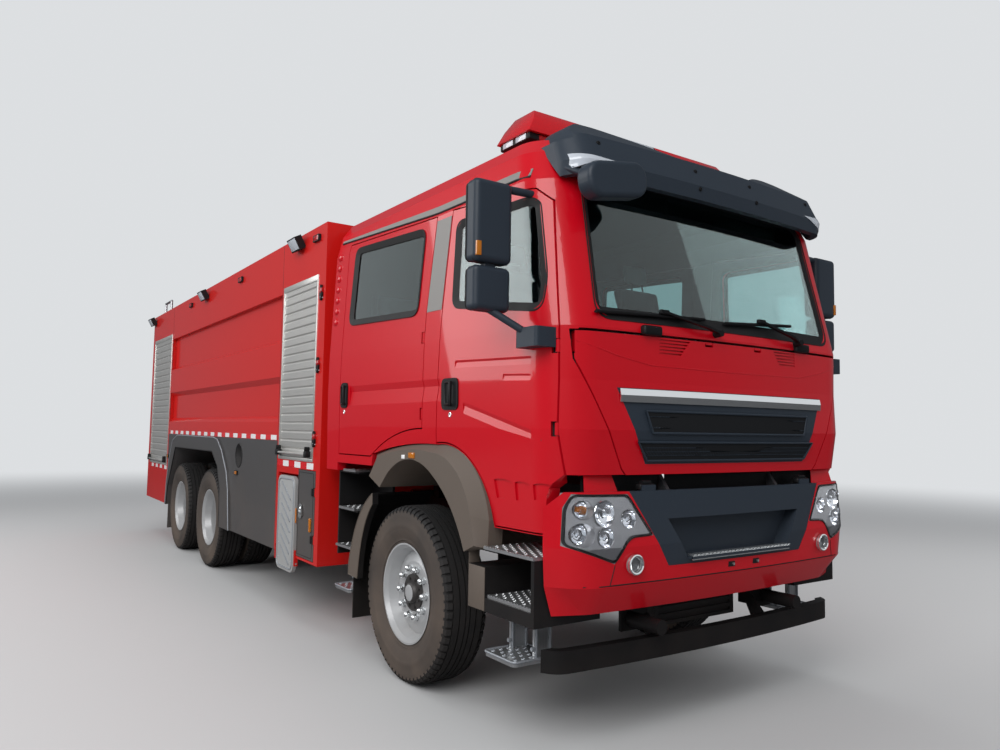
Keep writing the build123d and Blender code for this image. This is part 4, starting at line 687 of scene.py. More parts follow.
def tyre_piece(name, middle, body, replaces=()):
    """Radial tyre with grooved ribs, sliced shoulders and ringed sidewalls."""
    depth = bpy.context.scene.truck_sizes.groove_depth
    steps = bpy.context.scene.truck_sizes.shoulder_blocks * 3
    base = TYRE_RADIUS - depth
    half_profile = ((0.1066, RIM_RADIUS + 0.004), (0.118, 0.300), (0.1225, 0.318), (0.1275, 0.322),
                    (0.1285, 0.334), (0.132, 0.342), (0.1415, 0.368), (0.1468, 0.392), (0.1478, 0.400),
                    (0.1492, 0.404), (0.1492, 0.425), (0.1478, 0.430), (0.147, 0.462), (0.1432, 0.484),
                    (0.1400, 0.492), (0.1290, base - 0.010), (0.1040, base))
    profile = [(-a, r) for a, r in half_profile] + [(a, base) for pair in TREAD_RIBS for a in pair]
    profile += [*reversed(half_profile), (0.04, 0.264), (-0.04, 0.264)]
    bm = bmesh.new()
    add_lathe(bm, profile, middle, (1, 0, 0), steps, closed=True)
    bm.faces.ensure_lookup_table()
    shoulder, ribs = [], []
    for face in bm.faces:
        spot = face.calc_center_median() - middle
        reach = math.hypot(spot.y, spot.z)
        turn = int(round(math.degrees(math.atan2(spot.z, spot.y)) % 360 / (360 / steps) - 0.5)) % 3
        if reach > base - 0.03 and any(low < spot.x < high for low, high in TREAD_RIBS):
            ribs.append(face)
        elif reach > base - 0.026 and 0.104 < abs(spot.x) < 0.1395 and turn:
            shoulder.append(face)
    for faces, lift in ((ribs, depth), (shoulder, depth * 0.9)):
        made = bmesh.ops.extrude_face_region(bm, geom=faces)["geom"]
        bmesh.ops.delete(bm, geom=[face for face in faces if face.is_valid], context="FACES_ONLY")
        for vert in made:
            if isinstance(vert, bmesh.types.BMVert):
                spot = vert.co - middle
                vert.co += Vector((0, spot.y, spot.z)) * (lift / math.hypot(spot.y, spot.z))
    for face in bm.faces:
        spot = face.calc_center_median() - middle
        face.material_index = 0 if math.hypot(spot.y, spot.z) > 0.5 else 1
    finished(bm, name, ("tread rubber", "sidewall rubber"), body, replaces, smooth=28)


def nut_ring(bm, middle, out, foot):
    """Wheel nuts with their washers round a hub."""
    for spot in around(middle, NUT_CIRCLE, 10):
        add_rod(bm, spot + out * foot, spot + out * (foot + 0.004), 0.024)
        add_rod(bm, spot + out * foot, spot + out * (foot + NUT_HEIGHT * 0.5), 0.0215, sides=6)
        add_lathe(bm, [(foot + NUT_HEIGHT * share, radius) for share, radius in NUT_END], spot, out, 12)


def wheel_set(place, word, middle, tyres):
    """Tyres, nuts, hub cap and valve of one wheel."""
    body = f"wheel_{place}_{word}"
    front = len(tyres) == 1
    side = 1 if middle.x > 0 else -1
    out = Vector((side, 0, 0))
    for number, x in enumerate(tyres):
        node = f"tyre_{place}_{word}" if front else f"tyres_{place}_{word}"
        tyre_piece(f"{body}.dress.tyre_{number + 1}", Vector((side * x, middle.y, middle.z)), body,
                   () if number else (node,))
    nuts, hub, cap = blanks(3)
    nut_ring(nuts, middle, out, 0.062 if front else 0.012)
    if front:
        add_lathe(hub, ((0.062, 0.116), (0.070, 0.113), (0.0745, 0.112), (0.0748, 0.090), (0.0750, 0.060),
                        (0.0752, 0.0)), middle, out, 48)
        for spot in around(middle, 0.088, 8, 0.5):
            add_rod(hub, spot + out * 0.070, spot + out * 0.084, 0.010, sides=6)
        add_lathe(hub, ((0.075, 0.066), (0.092, 0.062), (0.098, 0.055), (0.101, 0.050)), middle, out, 40)
        add_lathe(cap, ((0.099, 0.053), (0.1005, 0.050), (0.1015, 0.030), (0.1018, 0.0)), middle, out, 40)
    else:
        for spot in around(middle, 0.078, 12, 0.5):
            add_rod(hub, spot + out * 0.128, spot + out * 0.141, 0.008, sides=6)
        add_lathe(hub, ((0.137, 0.095), (0.138, 0.099), (0.126, 0.101), (0.118, 0.101)), middle, out, 48)
        add_lathe(cap, ((0.139, 0.062), (0.146, 0.058), (0.149, 0.050), (0.150, 0.0)), middle, out, 40)
    valve = middle + Vector((0, 0.14, 0.205)) + out * (0.035 if front else 0.05)
    add_tube(cap, [valve, valve + out * 0.03 + Vector((0, 0.012, 0.02))], 0.005)
    finished_all(f"{body}.dress", body, (nuts, "nuts", "bright chrome", "rim_silver"),
                 (hub, "hub_bolts", "hub iron", "rim_silver"), (cap, "cap", "rim silver paint", "rim_silver"))


def build_wheels():
    """Every wheel's tyres and trim."""
    for word, side in SIDES:
        wheel_set("front", word, Vector((side * FRONT_WHEEL, aft(0.0), AXLE_HEIGHT)), (FRONT_WHEEL,))
        for number, y in enumerate(REAR_AXLES):
            wheel_set(f"rear_{number + 1}", word, Vector((side * REAR_HUB, y, AXLE_HEIGHT)),
                      (REAR_OUTER, REAR_INNER))


# Windows, doors and cab sides
FRONT_WINDOW = ((-0.552, 2.745), (-0.552, 2.250), (-1.345, 2.140), (-1.352, 2.300), (-1.268, 2.700),
                (-1.225, 2.728))
REAR_WINDOW = ((0.800, 2.836), (0.835, 2.287), (-0.147, 2.250), (-0.190, 2.780))
SCREEN = ((-0.958, 2.112), (-0.950, 2.300), (-0.925, 2.800), (-0.900, 2.900),
          (0.900, 2.900), (0.925, 2.800), (0.950, 2.300), (0.958, 2.112))
PATCH_THICKNESS = 0.002
# Places along the cab's roof edge, from front to back
ROOF_EDGE = [-1.20 + 2.31 * n / 24 for n in range(25)]


def side_patch(bm, tree, side, points, lift):
    """Closed plate that lies on the truck's side inside an outline."""
    add_plate(bm, [on_side(tree, side, *p, lift) for p in dense(points, 0.08)],
              (-side * (PATCH_THICKNESS + lift), 0, 0))


def build_windows():
    """Rubber seals round the side windows, and the windscreen's border."""
    width = bpy.context.scene.truck_sizes.seal_width
    for word, side in SIDES:
        for which, window, corner in (("front", FRONT_WINDOW, 0.062), ("rear", REAR_WINDOW, 0.072)):
            body = f"door_{which}_{word}"
            tree = surface_of(body, f"glass_{which}_{word}", "cab_shell")
            bm = bmesh.new()
            line = spaced(rounded(window, corner), 0.04)
            outer = [on_side(tree, side, *p, 0.004) for p in grown(line, 0.009)]
            inner = [on_side(tree, side, *p, 0.0016) for p in grown(line, -width)]
            add_band(bm, outer, inner, 0.004)
            finished(bm, f"{body}.window_seal", "seal rubber", body)
    tree = surface_of("windscreen", "cab_shell")
    bm = bmesh.new()
    line = spaced(rounded(SCREEN, 0.09), 0.08)
    outer = [on_front(tree, *p, 0.004) for p in grown(line, 0.012)]
    inner = [on_front(tree, p[0], max(p[1], 2.165), 0.002) for p in grown(line, -0.030)]
    add_band(bm, outer, inner, 0.003)
    finished(bm, "cab.windscreen_border", "seal rubber", "cab")


def build_doors():
    """Pull handles, locks and pillar trim of the doors."""
    for word, side in SIDES:
        for which, y0, y1, z0, z1 in (("front", -0.643, -0.470, 1.66, 1.84),
                                      ("rear", 0.800, 0.915, 1.69, 1.87)):
            body = f"door_{which}_{word}"
            tree = surface_of(body, "cab_shell")
            bm, lock = blanks(2)
            side_patch(bm, tree, side, rounded_box((y0, z0), (y1, z1), 0.04), 0.007)
            middle = (y0 + y1) / 2
            grip = on_side(tree, side, middle, (z0 + z1) / 2)
            spots = ((middle - 0.035, z0 + 0.030, 0.024), (middle - 0.035, z1 - 0.025, 0.024),
                     (middle + 0.040, z1 - 0.025, 0.006), (middle + 0.040, z0 + 0.030, 0.006))
            add_tube(bm, [Vector((grip.x + side * lift, aft(y), z)) for y, z, lift in spots], 0.010,
                     closed=True)
            add_lathe(lock, ((-0.002, 0.015), (0.003, 0.015), (0.004, 0.011), (0.002, 0.008), (0.002, 0.0)),
                      on_side(tree, side, middle, z0 - 0.028), (side, 0, 0), 20)
            finished_all(body, body, (bm, "handle", "moulded black plastic", "dark_plastic"),
                         (lock, "lock", "bright chrome", "ladder_steel"))
        cab = surface_of("cab_shell", f"door_front_{word}", f"door_rear_{word}")
        bm, gutter = blanks(2)
        side_patch(bm, cab, side, ((-0.325, 2.800), (-0.262, 2.250), (-0.430, 2.250), (-0.485, 2.800)), 0.003)
        low, high, drip = ([on_side(cab, side, y, z + rise * max(0.0, y + 0.3), lift) for y in ROOF_EDGE]
                           for z, rise, lift in ((2.853, 0.060, 0.004), (2.897, 0.042, 0.004),
                                                 (2.851, 0.060, 0.002)))
        add_band(bm, high, low, 0.003, closed=False)
        add_tube(gutter, drip, 0.006)
        finished(bm, f"cab.pillar_trim_{word}", "pillar grey paint", "cab")
        finished(gutter, f"cab.gutter_{word}", "seal rubber", "cab")


# Front
GRILLE_WINDOWS = ((0.668, 0.628, 1.652, 1.551), (0.722, 0.652, 1.497, 1.412))
MESH_PITCH = 0.020
MESH_WIRE = 0.0028
MESH_PLANE = -1.541
WIPERS = (((-0.98, 2.133), (-0.232, 2.157), (-0.536, 2.167), (-0.154, 2.091)),
          ((-0.066, 2.152), (0.558, 2.194), (0.250, 2.190), (0.557, 2.096)))
WIPER_PIVOT = -1.592
FOG_LAMP = (0.768, -1.588, 0.915)


def outline_points(tree, line, amount, lift, step):
    """Points on the truck's front along an outline that is drawn in by an amount."""
    return [on_front(tree, *p, lift) for p in grown(spaced(line, step), -amount)]


def front_line(bm, tree, points, radius, lift):
    """Round line along the truck's front."""
    add_tube(bm, [on_front(tree, *p, lift) for p in dense(points, 0.05, False)], radius)


def grille_mesh(bm, flap, half_top, half_low, high, low):
    """Wire mesh in one window of the grille, in rows shifted by half a cell, laid on the grille."""
    columns = int(2 * half_top / MESH_PITCH)
    rows = max(2, int((high - low) / MESH_PITCH))
    sheet = bmesh.new()
    bmesh.ops.create_grid(sheet, x_segments=columns, y_segments=rows, size=0.5)
    for vert in sheet.verts:
        u, v = vert.co.x + 0.5, vert.co.y + 0.5
        half = half_low + (half_top - half_low) * v
        shift = (0.5 if round(v * rows) % 2 else 0.0) / columns
        x = (2 * min(max(u + shift, 0.0), 1.0) - 1) * (half - 0.004)
        vert.co = Vector((x, aft(MESH_PLANE), low + 0.004 + (high - low - 0.008) * v))
    bmesh.ops.wireframe(sheet, faces=sheet.faces, thickness=MESH_WIRE, use_replace=True, use_boundary=True)
    for vert in sheet.verts:
        depth = vert.co.y - aft(MESH_PLANE)
        vert.co.y = on_front(flap, vert.co.x, vert.co.z).y - 0.0105 + depth
    add_mesh(bm, sheet)


def build_grille():
    """Chrome strip, wire meshes with their frames and near-black backs painted as shade behind them, and the
    creases of the flap.
    """
    flap = surface_of("front_panel", "front_grille")
    strip, mesh, back, lip, crease = blanks(5)
    places = [0.831 * n / 12 for n in range(-12, 13)]
    top, middle, low = ([on_front(flap, x, z, lift) for x in places]
                        for z, lift in ((1.764, 0.009), (1.732, 0.014), (1.698, 0.009)))
    add_band(strip, top, middle, 0.006, closed=False)
    add_band(strip, middle, low, 0.006, closed=False)
    grille = surface_of("front_grille")
    shares = [n / 20 for n in range(-20, 21)]
    for half_top, half_low, high, low in GRILLE_WINDOWS:
        grille_mesh(mesh, flap, half_top, half_low, high, low)
        out = Vector((0, -0.0085, 0))
        rise = Vector((0, 0, 0.004))
        top = [on_front(grille, half_top * share, high + 0.004) + out for share in shares]
        bottom = [on_front(grille, half_low * share, low - 0.004) + out for share in shares]
        # Painted shade: a near-black band laid over the grille bars behind each mesh.
        add_band(back, [p - rise for p in top], [p + rise for p in bottom], 0.0006, closed=False)
        add_tube(lip, top + bottom[::-1], 0.0065, closed=True)
    for sign in (-1, 1):
        front_line(crease, flap,
                   ((sign * 1.070, 1.985), (sign * 0.84, 1.925), (sign * 0.62, 1.888), (0.0, 1.882)),
                   0.004, -0.0015)
    finished_all("front_flap", "front_flap", (strip, "chrome_strip", "bright chrome", "ladder_steel"),
                 (mesh, "mesh", "moulded dark plastic", "dark_plastic"),
                 (back, "mesh_shade_backs", "grille shade", "dark_plastic"),
                 (lip, "mesh_frames", "moulded dark plastic", "dark_plastic"),
                 (crease, "crease", "cab red paint", "red_paint"))


def build_wipers():
    """Wiper blades on their arms, and the washer covers."""
    screen = surface_of("windscreen", "cab_shell", "front_panel")
    bm = bmesh.new()
    for start, end, knee, pivot in WIPERS:
        run = dense([start, end], 0.06, False)
        add_tube(bm, [on_front(screen, *p, 0.026) for p in run], 0.009)
        add_tube(bm, [on_front(screen, p[0], p[1] - 0.003, 0.012) for p in run], 0.005)
        foot = Vector((pivot[0], aft(WIPER_PIVOT), pivot[1] - 0.006))
        add_rod(bm, foot + Vector((0, 0.03, 0)), foot - Vector((0, 0.018, 0)), 0.022, 0.017)
        elbow = on_front(screen, *knee, 0.040)
        arm = [foot, foot.lerp(elbow, 0.25) - Vector((0, 0.020, 0)), elbow]
        for a, b in zip(arm, arm[1:]):
            place, reach = along(a, b)
            bmesh.ops.create_cube(bm, size=1.0,
                                  matrix=place @ Matrix.Diagonal((0.026, 0.012, reach + 0.012, 1)))
        add_box(bm, elbow - Vector((0.03, 0.010, 0.012)), elbow + Vector((0.03, 0.014, 0.012)), 0.005)
    for x in (-0.632, 0.622):
        spot = on_front(screen, x, 2.062)
        add_box(bm, spot - Vector((0.064, 0.030, 0.026)), spot + Vector((0.064, 0.012, 0.026)), 0.014,
                segments=4)
    finished(bm, "cab.wipers", "moulded black plastic", "cab")


def build_bumper():
    """Fog lamps, seams, tow covers, tread edge, corner fillers, and near-black plates behind the gap that
    paint shade there.
    """
    bumper = surface_of("bumper", "bumper_grille")
    rings, lenses, seams, edge, fillers, screen = blanks(6)
    fog_x, fog_y, fog_z = FOG_LAMP
    for sign in (-1, 1):
        spot = (sign * fog_x, aft(fog_y), fog_z)
        add_lathe(rings, ((-0.004, 0.050), (0.008, 0.049), (0.011, 0.044), (0.008, 0.038), (-0.020, 0.033)),
                  spot, (0, -1, 0), 32)
        add_lathe(lenses, ((-0.019, 0.034), (-0.006, 0.031), (0.002, 0.018), (0.004, 0.0)), spot, (0, -1, 0),
                  28)
    front_line(seams, bumper, [(-1.04 + 2.08 * n / 24, 0.822) for n in range(25)], 0.0035, -0.001)
    for sign in (-1, 1):
        front_line(seams, bumper, ((sign * 0.882, 0.918), (sign * 0.905, 0.824)), 0.003, -0.001)
    for x in (-0.071, 0.132):
        spot = on_front(bumper, x, 0.862)
        add_box(seams, spot - Vector((0.026, 0.0015, 0.014)), spot + Vector((0.026, 0.004, 0.014)), 0.001)
        spot = on_front(bumper, x + (0.009 if x < 0 else 0.010), 0.862)
        add_rod(edge, spot - Vector((0.0, 0.010, 0)), spot + Vector((0, 0.004, 0)), 0.007)
    for number in range(27):
        x = -0.39 + 0.03 * number
        add_block(edge, (x, x + 0.018), (-1.6192, -1.575), (0.929, 0.937), 0.0012)
    add_block(edge, (-0.40, 0.40), (-1.6198, -1.612), (0.9085, 0.9305), 0.002)
    shell = surface_of("bumper")
    for sign in (-1, 1):
        low = [on_front(shell, sign * (0.800 + 0.22 * n / 10), 1.25) + Vector((0, 0.050, -0.005))
               for n in range(11)]
        high = [Vector((sign * (0.945 + (abs(p.x) - 0.945) * 0.82), p.y + 0.024, 1.338)) for p in low]
        add_band(fillers, high, low, 0.003, closed=False)
    # Painted shade: near-black plates behind the gap under the cab stand in for the shadow there; two blocks
    # with cross rods at ±0.645 go into the same mesh.
    for ends in ((-1.000, -0.478), (-0.425, 0.425), (0.478, 1.000)):
        add_block(screen, ends, (-1.452, -1.444), (1.215, 1.338), 0.003)
        add_block(screen, ends, (-1.452, -1.250), (1.212, 1.220), 0.003)
    for x in (-0.645, 0.645):
        add_block(screen, span(x, 0.052), (-1.548, -1.505), (1.262, 1.296), 0.010, segments=3)
        add_rod(screen, (x - 0.030, aft(-1.530), 1.300), (x + 0.030, aft(-1.530), 1.300), 0.012)
    finished_all("bumper", "chassis", (rings, "fog_rings", "bright chrome", "ladder_steel"),
                 (lenses, "fog_lenses", "clear lens", "lamp_lens"),
                 (seams, "seams", "seal rubber", "arch_plastic"),
                 (edge, "tread_edge", "bright chrome", "ladder_steel"),
                 (fillers, "corner_fillers", "cab red paint", "red_paint"),
                 (screen, "gap_shade_screen", "moulded black plastic", "dark_plastic"))


def build_front():
    """Grille, wipers and bumper trim."""
    build_grille()
    build_wipers()
    build_bumper()


# Lamps
LAMP_OUTLINE = ((-0.787, 1.250), (-0.640, 1.046), (-0.792, 1.040), (-0.882, 0.922), (-1.129, 1.013),
                (-1.118, 1.190), (-1.087, 1.255))
LAMP_BOWLS = ((-1.045, 1.180, 0.042, "amber"), (-0.935, 1.160, 0.066, "clear"),
              (-1.055, 1.065, 0.050, "clear"),
              (-0.935, 1.050, 0.050, "clear"), (-0.790, 1.130, 0.048, "clear"))
# Reflector and bulb as (depth, share of the bowl's radius)
BOWL_PROFILE = ((0.0005, 1.00), (0.004, 0.97), (0.004, 0.91), (-0.004, 0.86), (-0.014, 0.80), (-0.024, 0.66),
                (-0.031, 0.45), (-0.034, 0.22), (-0.034, 0.0))
BULB_PROFILE = ((-0.033, 0.20), (-0.020, 0.34), (-0.008, 0.32), (-0.002, 0.18), (-0.001, 0.0))
# Bumper's outer skin as (height, front, half width, corner radius), and the radius of its bow
BUMPER_SKIN = ((0.672, -1.490, 1.120, 0.230), (0.815, -1.592, 1.165, 0.260), (1.000, -1.606, 1.175, 0.260),
               (1.262, -1.578, 1.175, 0.250))
BUMPER_BOW = 11.3
VISOR_BOLTS = ((-0.881, 3.015), (-0.2, 2.996), (-0.205, 2.888), (0.275, 3.002), (0.282, 2.90), (0.881, 3.015))


def lamp_skin(x, z):
    """Place aft of the bumper's outer skin at a point of the lamp."""
    for low, high in zip(BUMPER_SKIN, BUMPER_SKIN[1:]):
        if z <= high[0]:
            break
    share = min(max((z - low[0]) / (high[0] - low[0]), 0.0), 1.0)
    front, half, corner = (a + (b - a) * share for a, b in zip(low[1:], high[1:]))
    middle_x = half - corner
    middle_y = front + BUMPER_BOW - math.sqrt((BUMPER_BOW - corner) ** 2 - middle_x ** 2)
    if abs(x) < middle_x * BUMPER_BOW / (BUMPER_BOW - corner):
        return aft(front + BUMPER_BOW - math.sqrt(BUMPER_BOW ** 2 - x ** 2))
    return aft(middle_y - math.sqrt(max(corner ** 2 - (abs(x) - middle_x) ** 2, 0.0)))


def build_headlamps():
    """Reflector bowls, bulbs, cover glasses and rims of the headlamps."""
    shell = surface_of("bumper", "headlamps")
    reflectors, bulbs, ambers, cover, rims = blanks(5)
    for sign in (-1, 1):
        for x, z, radius, kind in LAMP_BOWLS:
            reach = abs(x) + (radius * 0.55 if x < -1 else 0.0)
            middle = Vector((-sign * x, lamp_skin(reach, z) + 0.005, z))
            for bm, profile, steps in ((reflectors, BOWL_PROFILE, 40),
                                       (ambers if kind == "amber" else bulbs, BULB_PROFILE, 24)):
                add_lathe(bm, [(depth, radius * share) for depth, share in profile], middle, (0, -1, 0),
                          steps)
        line = rounded([(-sign * x, z) for x, z in LAMP_OUTLINE], 0.030, 4)
        outer, inner, places = (outline_points(shell, line, amount, lift, 0.03)
                                for amount, lift in ((0.001, 0.006), (0.013, 0.004), (0.006, 0.0)))
        add_band(rims, outer, inner, 0.004)
        flat = bmesh.new()
        face = flat.faces.new([flat.verts.new((p.x, 0.0, p.z)) for p in places])
        bmesh.ops.triangulate(flat, faces=[face])
        bmesh.ops.subdivide_edges(flat, edges=flat.edges, cuts=3, use_grid_fill=True)
        for vert in flat.verts:
            vert.co.y = lamp_skin(vert.co.x, vert.co.z) - 0.005
        bmesh.ops.recalc_face_normals(flat, faces=flat.faces)
        bmesh.ops.solidify(flat, geom=flat.faces[:], thickness=0.002)
        add_mesh(cover, flat)
    finished_all("headlamp", "chassis", (reflectors, "reflectors", "lamp silver", "lamp_lens"),
                 (bulbs, "bulbs", "clear lens", "lamp_lens"),
                 (ambers, "amber_bulbs", "amber lens", "lamp_lens"),
                 (cover, "covers", "cover glass", "lamp_lens"), (rims, "rims", "seal rubber", "dark_plastic"))


def build_visor():
    """Corner lamps and bolts of the sun visor."""
    visor = surface_of("sun_visor")
    corner, bolts = blanks(2)
    for sign in (-1, 1):
        upper, lower = [], []
        for number in range(17):
            share = number / 16
            x = sign * (0.800 + 0.246 * share)
            upper.append(on_front(visor, x, 2.922 + 0.014 * share, 0.0015))
            lower.append(on_front(visor, x, 2.916 - 0.074 * share, 0.0015))
        lines = [[on_front(visor, a.x, a.z + (b.z - a.z) * step / 8, 0.0035) for a, b in zip(upper, lower)]
                 for step in range(9)]
        for first, second in zip(lines, lines[1:]):
            add_band(corner, first, second, 0.001, closed=False)
    for x, z in VISOR_BOLTS:
        add_lathe(bolts, ((-0.004, 0.013), (0.003, 0.012), (0.006, 0.007), (0.004, 0.004), (0.004, 0.0)),
                  on_front(visor, x, z), (0, -1, 0), 16)
    finished_all("visor", "cab", (corner, "corner_lamps", "frosted lens", "lamp_lens"),
                 (bolts, "bolts", "moulded black plastic", "dark_plastic"))


def build_body_lamps():
    """Lenses of the wheel arch, flood, strobe, side and rear lamps."""
    arch_ambers, whites, clear, red, amber, white = blanks(6)
    arch = surface_of("wheel_arches")
    for _, side in SIDES:
        spot = on_side(arch, side, -0.186, 1.390)
        add_box(arch_ambers, spot - Vector((0.010, 0.036, 0.018)), spot + Vector((0.014, 0.036, 0.018)),
                0.006)
        add_lump(whites, on_side(arch, side, -0.075, 1.378), (0.004, 0.020, 0.012), 0.002)
        turn = Matrix.Rotation(math.radians(28 * side), 4, "Y")
        for y, z in ((1.825, 3.060), (4.921, 3.054), (7.930, 3.065)):
            spot = Vector((side * 1.2953, aft(y), z)) + turn @ Vector((side * 0.0305, 0, 0))
            add_lump(clear, spot, (0.003, 0.083, 0.045), 0.002, turn)
        for y, z in ((1.453, 3.040), (3.537, 3.029), (5.670, 3.036)):
            add_lump(red, Vector((side * 1.256, aft(y), z)), (0.018, 0.050, 0.020), 0.006)
        for y, z in ((1.334, 2.590), (1.360, 2.027), (1.390, 1.457)):
            add_lathe(red, ((0.0, 0.030), (0.010, 0.029), (0.016, 0.022), (0.019, 0.0)),
                      (side * BODY_SIDE, aft(y), z + 0.018), (side, 0, 0), 24)
            add_lathe(white, ((0.0, 0.020), (0.012, 0.019), (0.017, 0.0)),
                      (side * BODY_SIDE, aft(y), z - 0.034), (side, 0, 0), 20)
        for y, z in ((3.450, 1.090), (6.655, 1.136)):
            add_lump(amber, Vector((side * 1.258, aft(y), z)), (0.008, 0.040, 0.016), 0.004)
        add_block(amber, span(side * 1.2515, 0.003), (1.735, 1.775), (0.780, 0.900), 0.003)
        for bm, near, far in ((red, 0.835, 0.930), (amber, 0.935, 1.030), (white, 1.035, 1.125)):
            add_block(bm, (side * near, side * far), (8.068, 8.081), (0.628, 0.732), 0.006)
        add_block(red, (side * 1.138, side * 1.202), (8.064, 8.076), (2.838, 2.952), 0.006)
    finished_all("cab", "cab", (arch_ambers, "flare_lamps", "amber lens", "lamp_lens"),
                 (whites, "flare_marks", "reflective white", "lamp_lens"))
    finished_all("body", "chassis", (clear, "flood_lenses", "frosted lens", "lamp_lens"),
                 (red, "red_lenses", "red lens", "lamp_lens"),
                 (amber, "amber_lenses", "amber lens", "lamp_lens"),
                 (white, "white_lenses", "frosted lens", "lamp_lens"))


def build_lamps():
    """Headlamps, visor lamps and the small lamps of the cab and body."""
    build_headlamps()
    build_visor()
    build_body_lamps()


# Light bar
BAR_FACE = ((-0.849, 3.272), (-0.834, 3.358), (-0.780, 3.4285), (-0.592, 3.4285), (-0.532, 3.358),
            (-0.517, 3.272))
BAR_END = 0.896


def bar_segment(bm, x0, x1):
    """Length of the light bar's outer shell, slanted at the bar's end."""
    face = bm.faces.new([bm.verts.new((x0, aft(y), z)) for y, z in BAR_FACE])
    made = bmesh.ops.extrude_face_region(bm, geom=[face])["geom"]
    for vert in made:
        if isinstance(vert, bmesh.types.BMVert):
            vert.co.x = x1
    outer = max(x0, x1, key=abs)
    if abs(outer) == BAR_END:
        for vert in bm.verts:
            if abs(vert.co.x - outer) < 1e-6:
                vert.co.x = math.copysign(BAR_END - 0.53 * (vert.co.z - 3.268), outer)


def build_light_bar():
    """Wedge light bar: red ends, clear middle, and a black base with lit windows and end lamps."""
    for label, x0, x1, finish in (("right", -BAR_END, -0.185, "beacon red lens"),
                                  ("left", 0.185, BAR_END, "beacon red lens"),
                                  ("middle", -0.180, 0.180, "frosted lens")):
        bm = bmesh.new()
        bar_segment(bm, x0, x1)
        edges = [e for e in bm.edges if e.calc_face_angle(0.0) > 0.2]
        bmesh.ops.bevel(bm, geom=edges, offset=0.006, segments=2, affect="EDGES", profile=0.5, material=-1)
        finished(bm, f"light_bar.{label}", finish, "cab",
                 ("light_bar",) if label == "middle" else ())
    base, windows, ends = blanks(3)
    add_block(base, (-0.879, 0.879), (-0.829, -0.536), (3.229, 3.274), 0.010, segments=3)
    for sign in (-1, 1):
        add_block(base, span(sign * 0.600, 0.04), (-0.80, -0.56), (3.1303, 3.232), 0.008)
        for x in (0.72, 0.52, 0.32):
            add_block(windows, span(sign * x, 0.085), (-0.8305, -0.826), (3.236, 3.266), 0.002)
        for y in (-0.80, -0.67):
            x = sign * 0.8795
            add_block(ends, (x - 0.002, x + 0.0018), (y, y + 0.10), (3.236, 3.268), 0.001)
    for x in (-0.1825, 0.1825):
        bar_segment(base, x - 0.0024, x + 0.0024)
    finished_all("light_bar", "cab", (base, "base", "moulded black plastic", "beacon_red"),
                 (windows, "windows", "red lens", "beacon_red"),
                 (ends, "end_lamps", "frosted lens", "beacon_red"))


# Mirrors
# Each glass as near, far, low, high and front, in metres from the middle, up and aft
MIRROR_GLASSES = ((1.278, 1.500, 2.362, 2.770, -1.250), (1.282, 1.496, 2.125, 2.345, -1.245))


def build_mirrors():
    """Mirror glasses, shell seams and indicators of the door mirrors, and the kerb mirror's glass."""
    for word, side in SIDES:
        glass, seam, lamp = blanks(3)
        for near, far, low, high, front in MIRROR_GLASSES:
            x0, x1 = sorted((side * near, side * far))
            line = rounded_box((x0 + 0.018, low + 0.020), (x1 - 0.018, high - 0.020), 0.018)
            add_plate(glass, crossways(-1.1505, line), (0, 0.003, 0))
            line = rounded_box((x0 + 0.008, low + 0.010), (x1 - 0.008, high - 0.010), 0.026)
            add_tube(seam, crossways(-1.1515, line), 0.0045, closed=True)
            line = rounded_box((x0 + 0.0022, low), (x1 - 0.0022, high), 0.030)
            add_tube(seam, crossways(front + 0.034, line), 0.0022, closed=True)
        add_block(lamp, (side * 1.466, side * 1.492), (-1.2535, -1.236), (2.385, 2.455), 0.0012)
        add_rod(seam, (side * 1.19, aft(-1.330), 2.049), (side * 1.19, aft(-1.330), 2.052), 0.020)
        finished_all(f"mirror_{word}", f"door_front_{word}", (glass, "glass", "mirror glass", "lamp_lens"),
                     (seam, "seams", "seal rubber", "dark_plastic"),
                     (lamp, "indicator", "amber lens", "lamp_lens"))
    bm = bmesh.new()
    tilt = Matrix.Translation((-0.890, 0, 2.785)) @ Matrix.Rotation(math.radians(-10), 4, "Y")
    points = [tilt @ Vector((x, 0, z)) for x, z in rounded_box((-0.165, -0.062), (0.165, 0.062), 0.055)]
    add_plate(bm, crossways(-1.4905, [(p.x, p.z) for p in points]), (0, 0.003, 0))
    finished(bm, "visor.kerb_glass", "mirror glass", "cab")


# Steps
# Treads as front, back, near, far and height; the low cast steps as front, back and the top of their straps
TREADS = ((-1.370, -0.945, 0.860, 1.222, 0.950), (-1.340, -0.960, 0.856, 1.205, 0.704),
          (0.697, 1.005, 0.930, 1.215, 0.716), (0.697, 0.965, 0.930, 1.215, 0.986),
          (0.697, 0.905, 0.930, 1.215, 1.254))
LOW_STEPS = ((-1.227, -0.962, 0.6197), (0.730, 0.990, 0.6897))
LOW_STEP_TOP = 0.430
BOARD_RIBS = 7
BOARD_FACE = 1.2625


def add_nubs(hole_shades, nubs, x0, x1, y0, y1, z, pitch=0.036):
    """Rows of pressed anti-slip rings on a tread, each with a black disc in its opening as painted shade."""
    rows = max(1, int((y1 - y0 - 0.02) / pitch))
    columns = max(1, int((x1 - x0 - 0.02) / pitch))
    for row in range(rows):
        y = y0 + (y1 - y0) * (row + 0.5) / rows
        count = columns - row % 2
        for column in range(count):
            spot = ((x0 + x1) / 2 + (column - (count - 1) / 2) * (x1 - x0) / columns, y, z)
            add_lathe(nubs, ((-0.001, 0.0125), (0.0028, 0.0098), (0.0030, 0.0068), (0.0002, 0.0058)), spot,
                      (0, 0, 1), 10)
            # Painted shade: a black disc fills each ring's opening for the shadow seen through it.
            add_lathe(hole_shades, ((0.0004, 0.0), (0.0004, 0.0062)), spot, (0, 0, 1), 8)


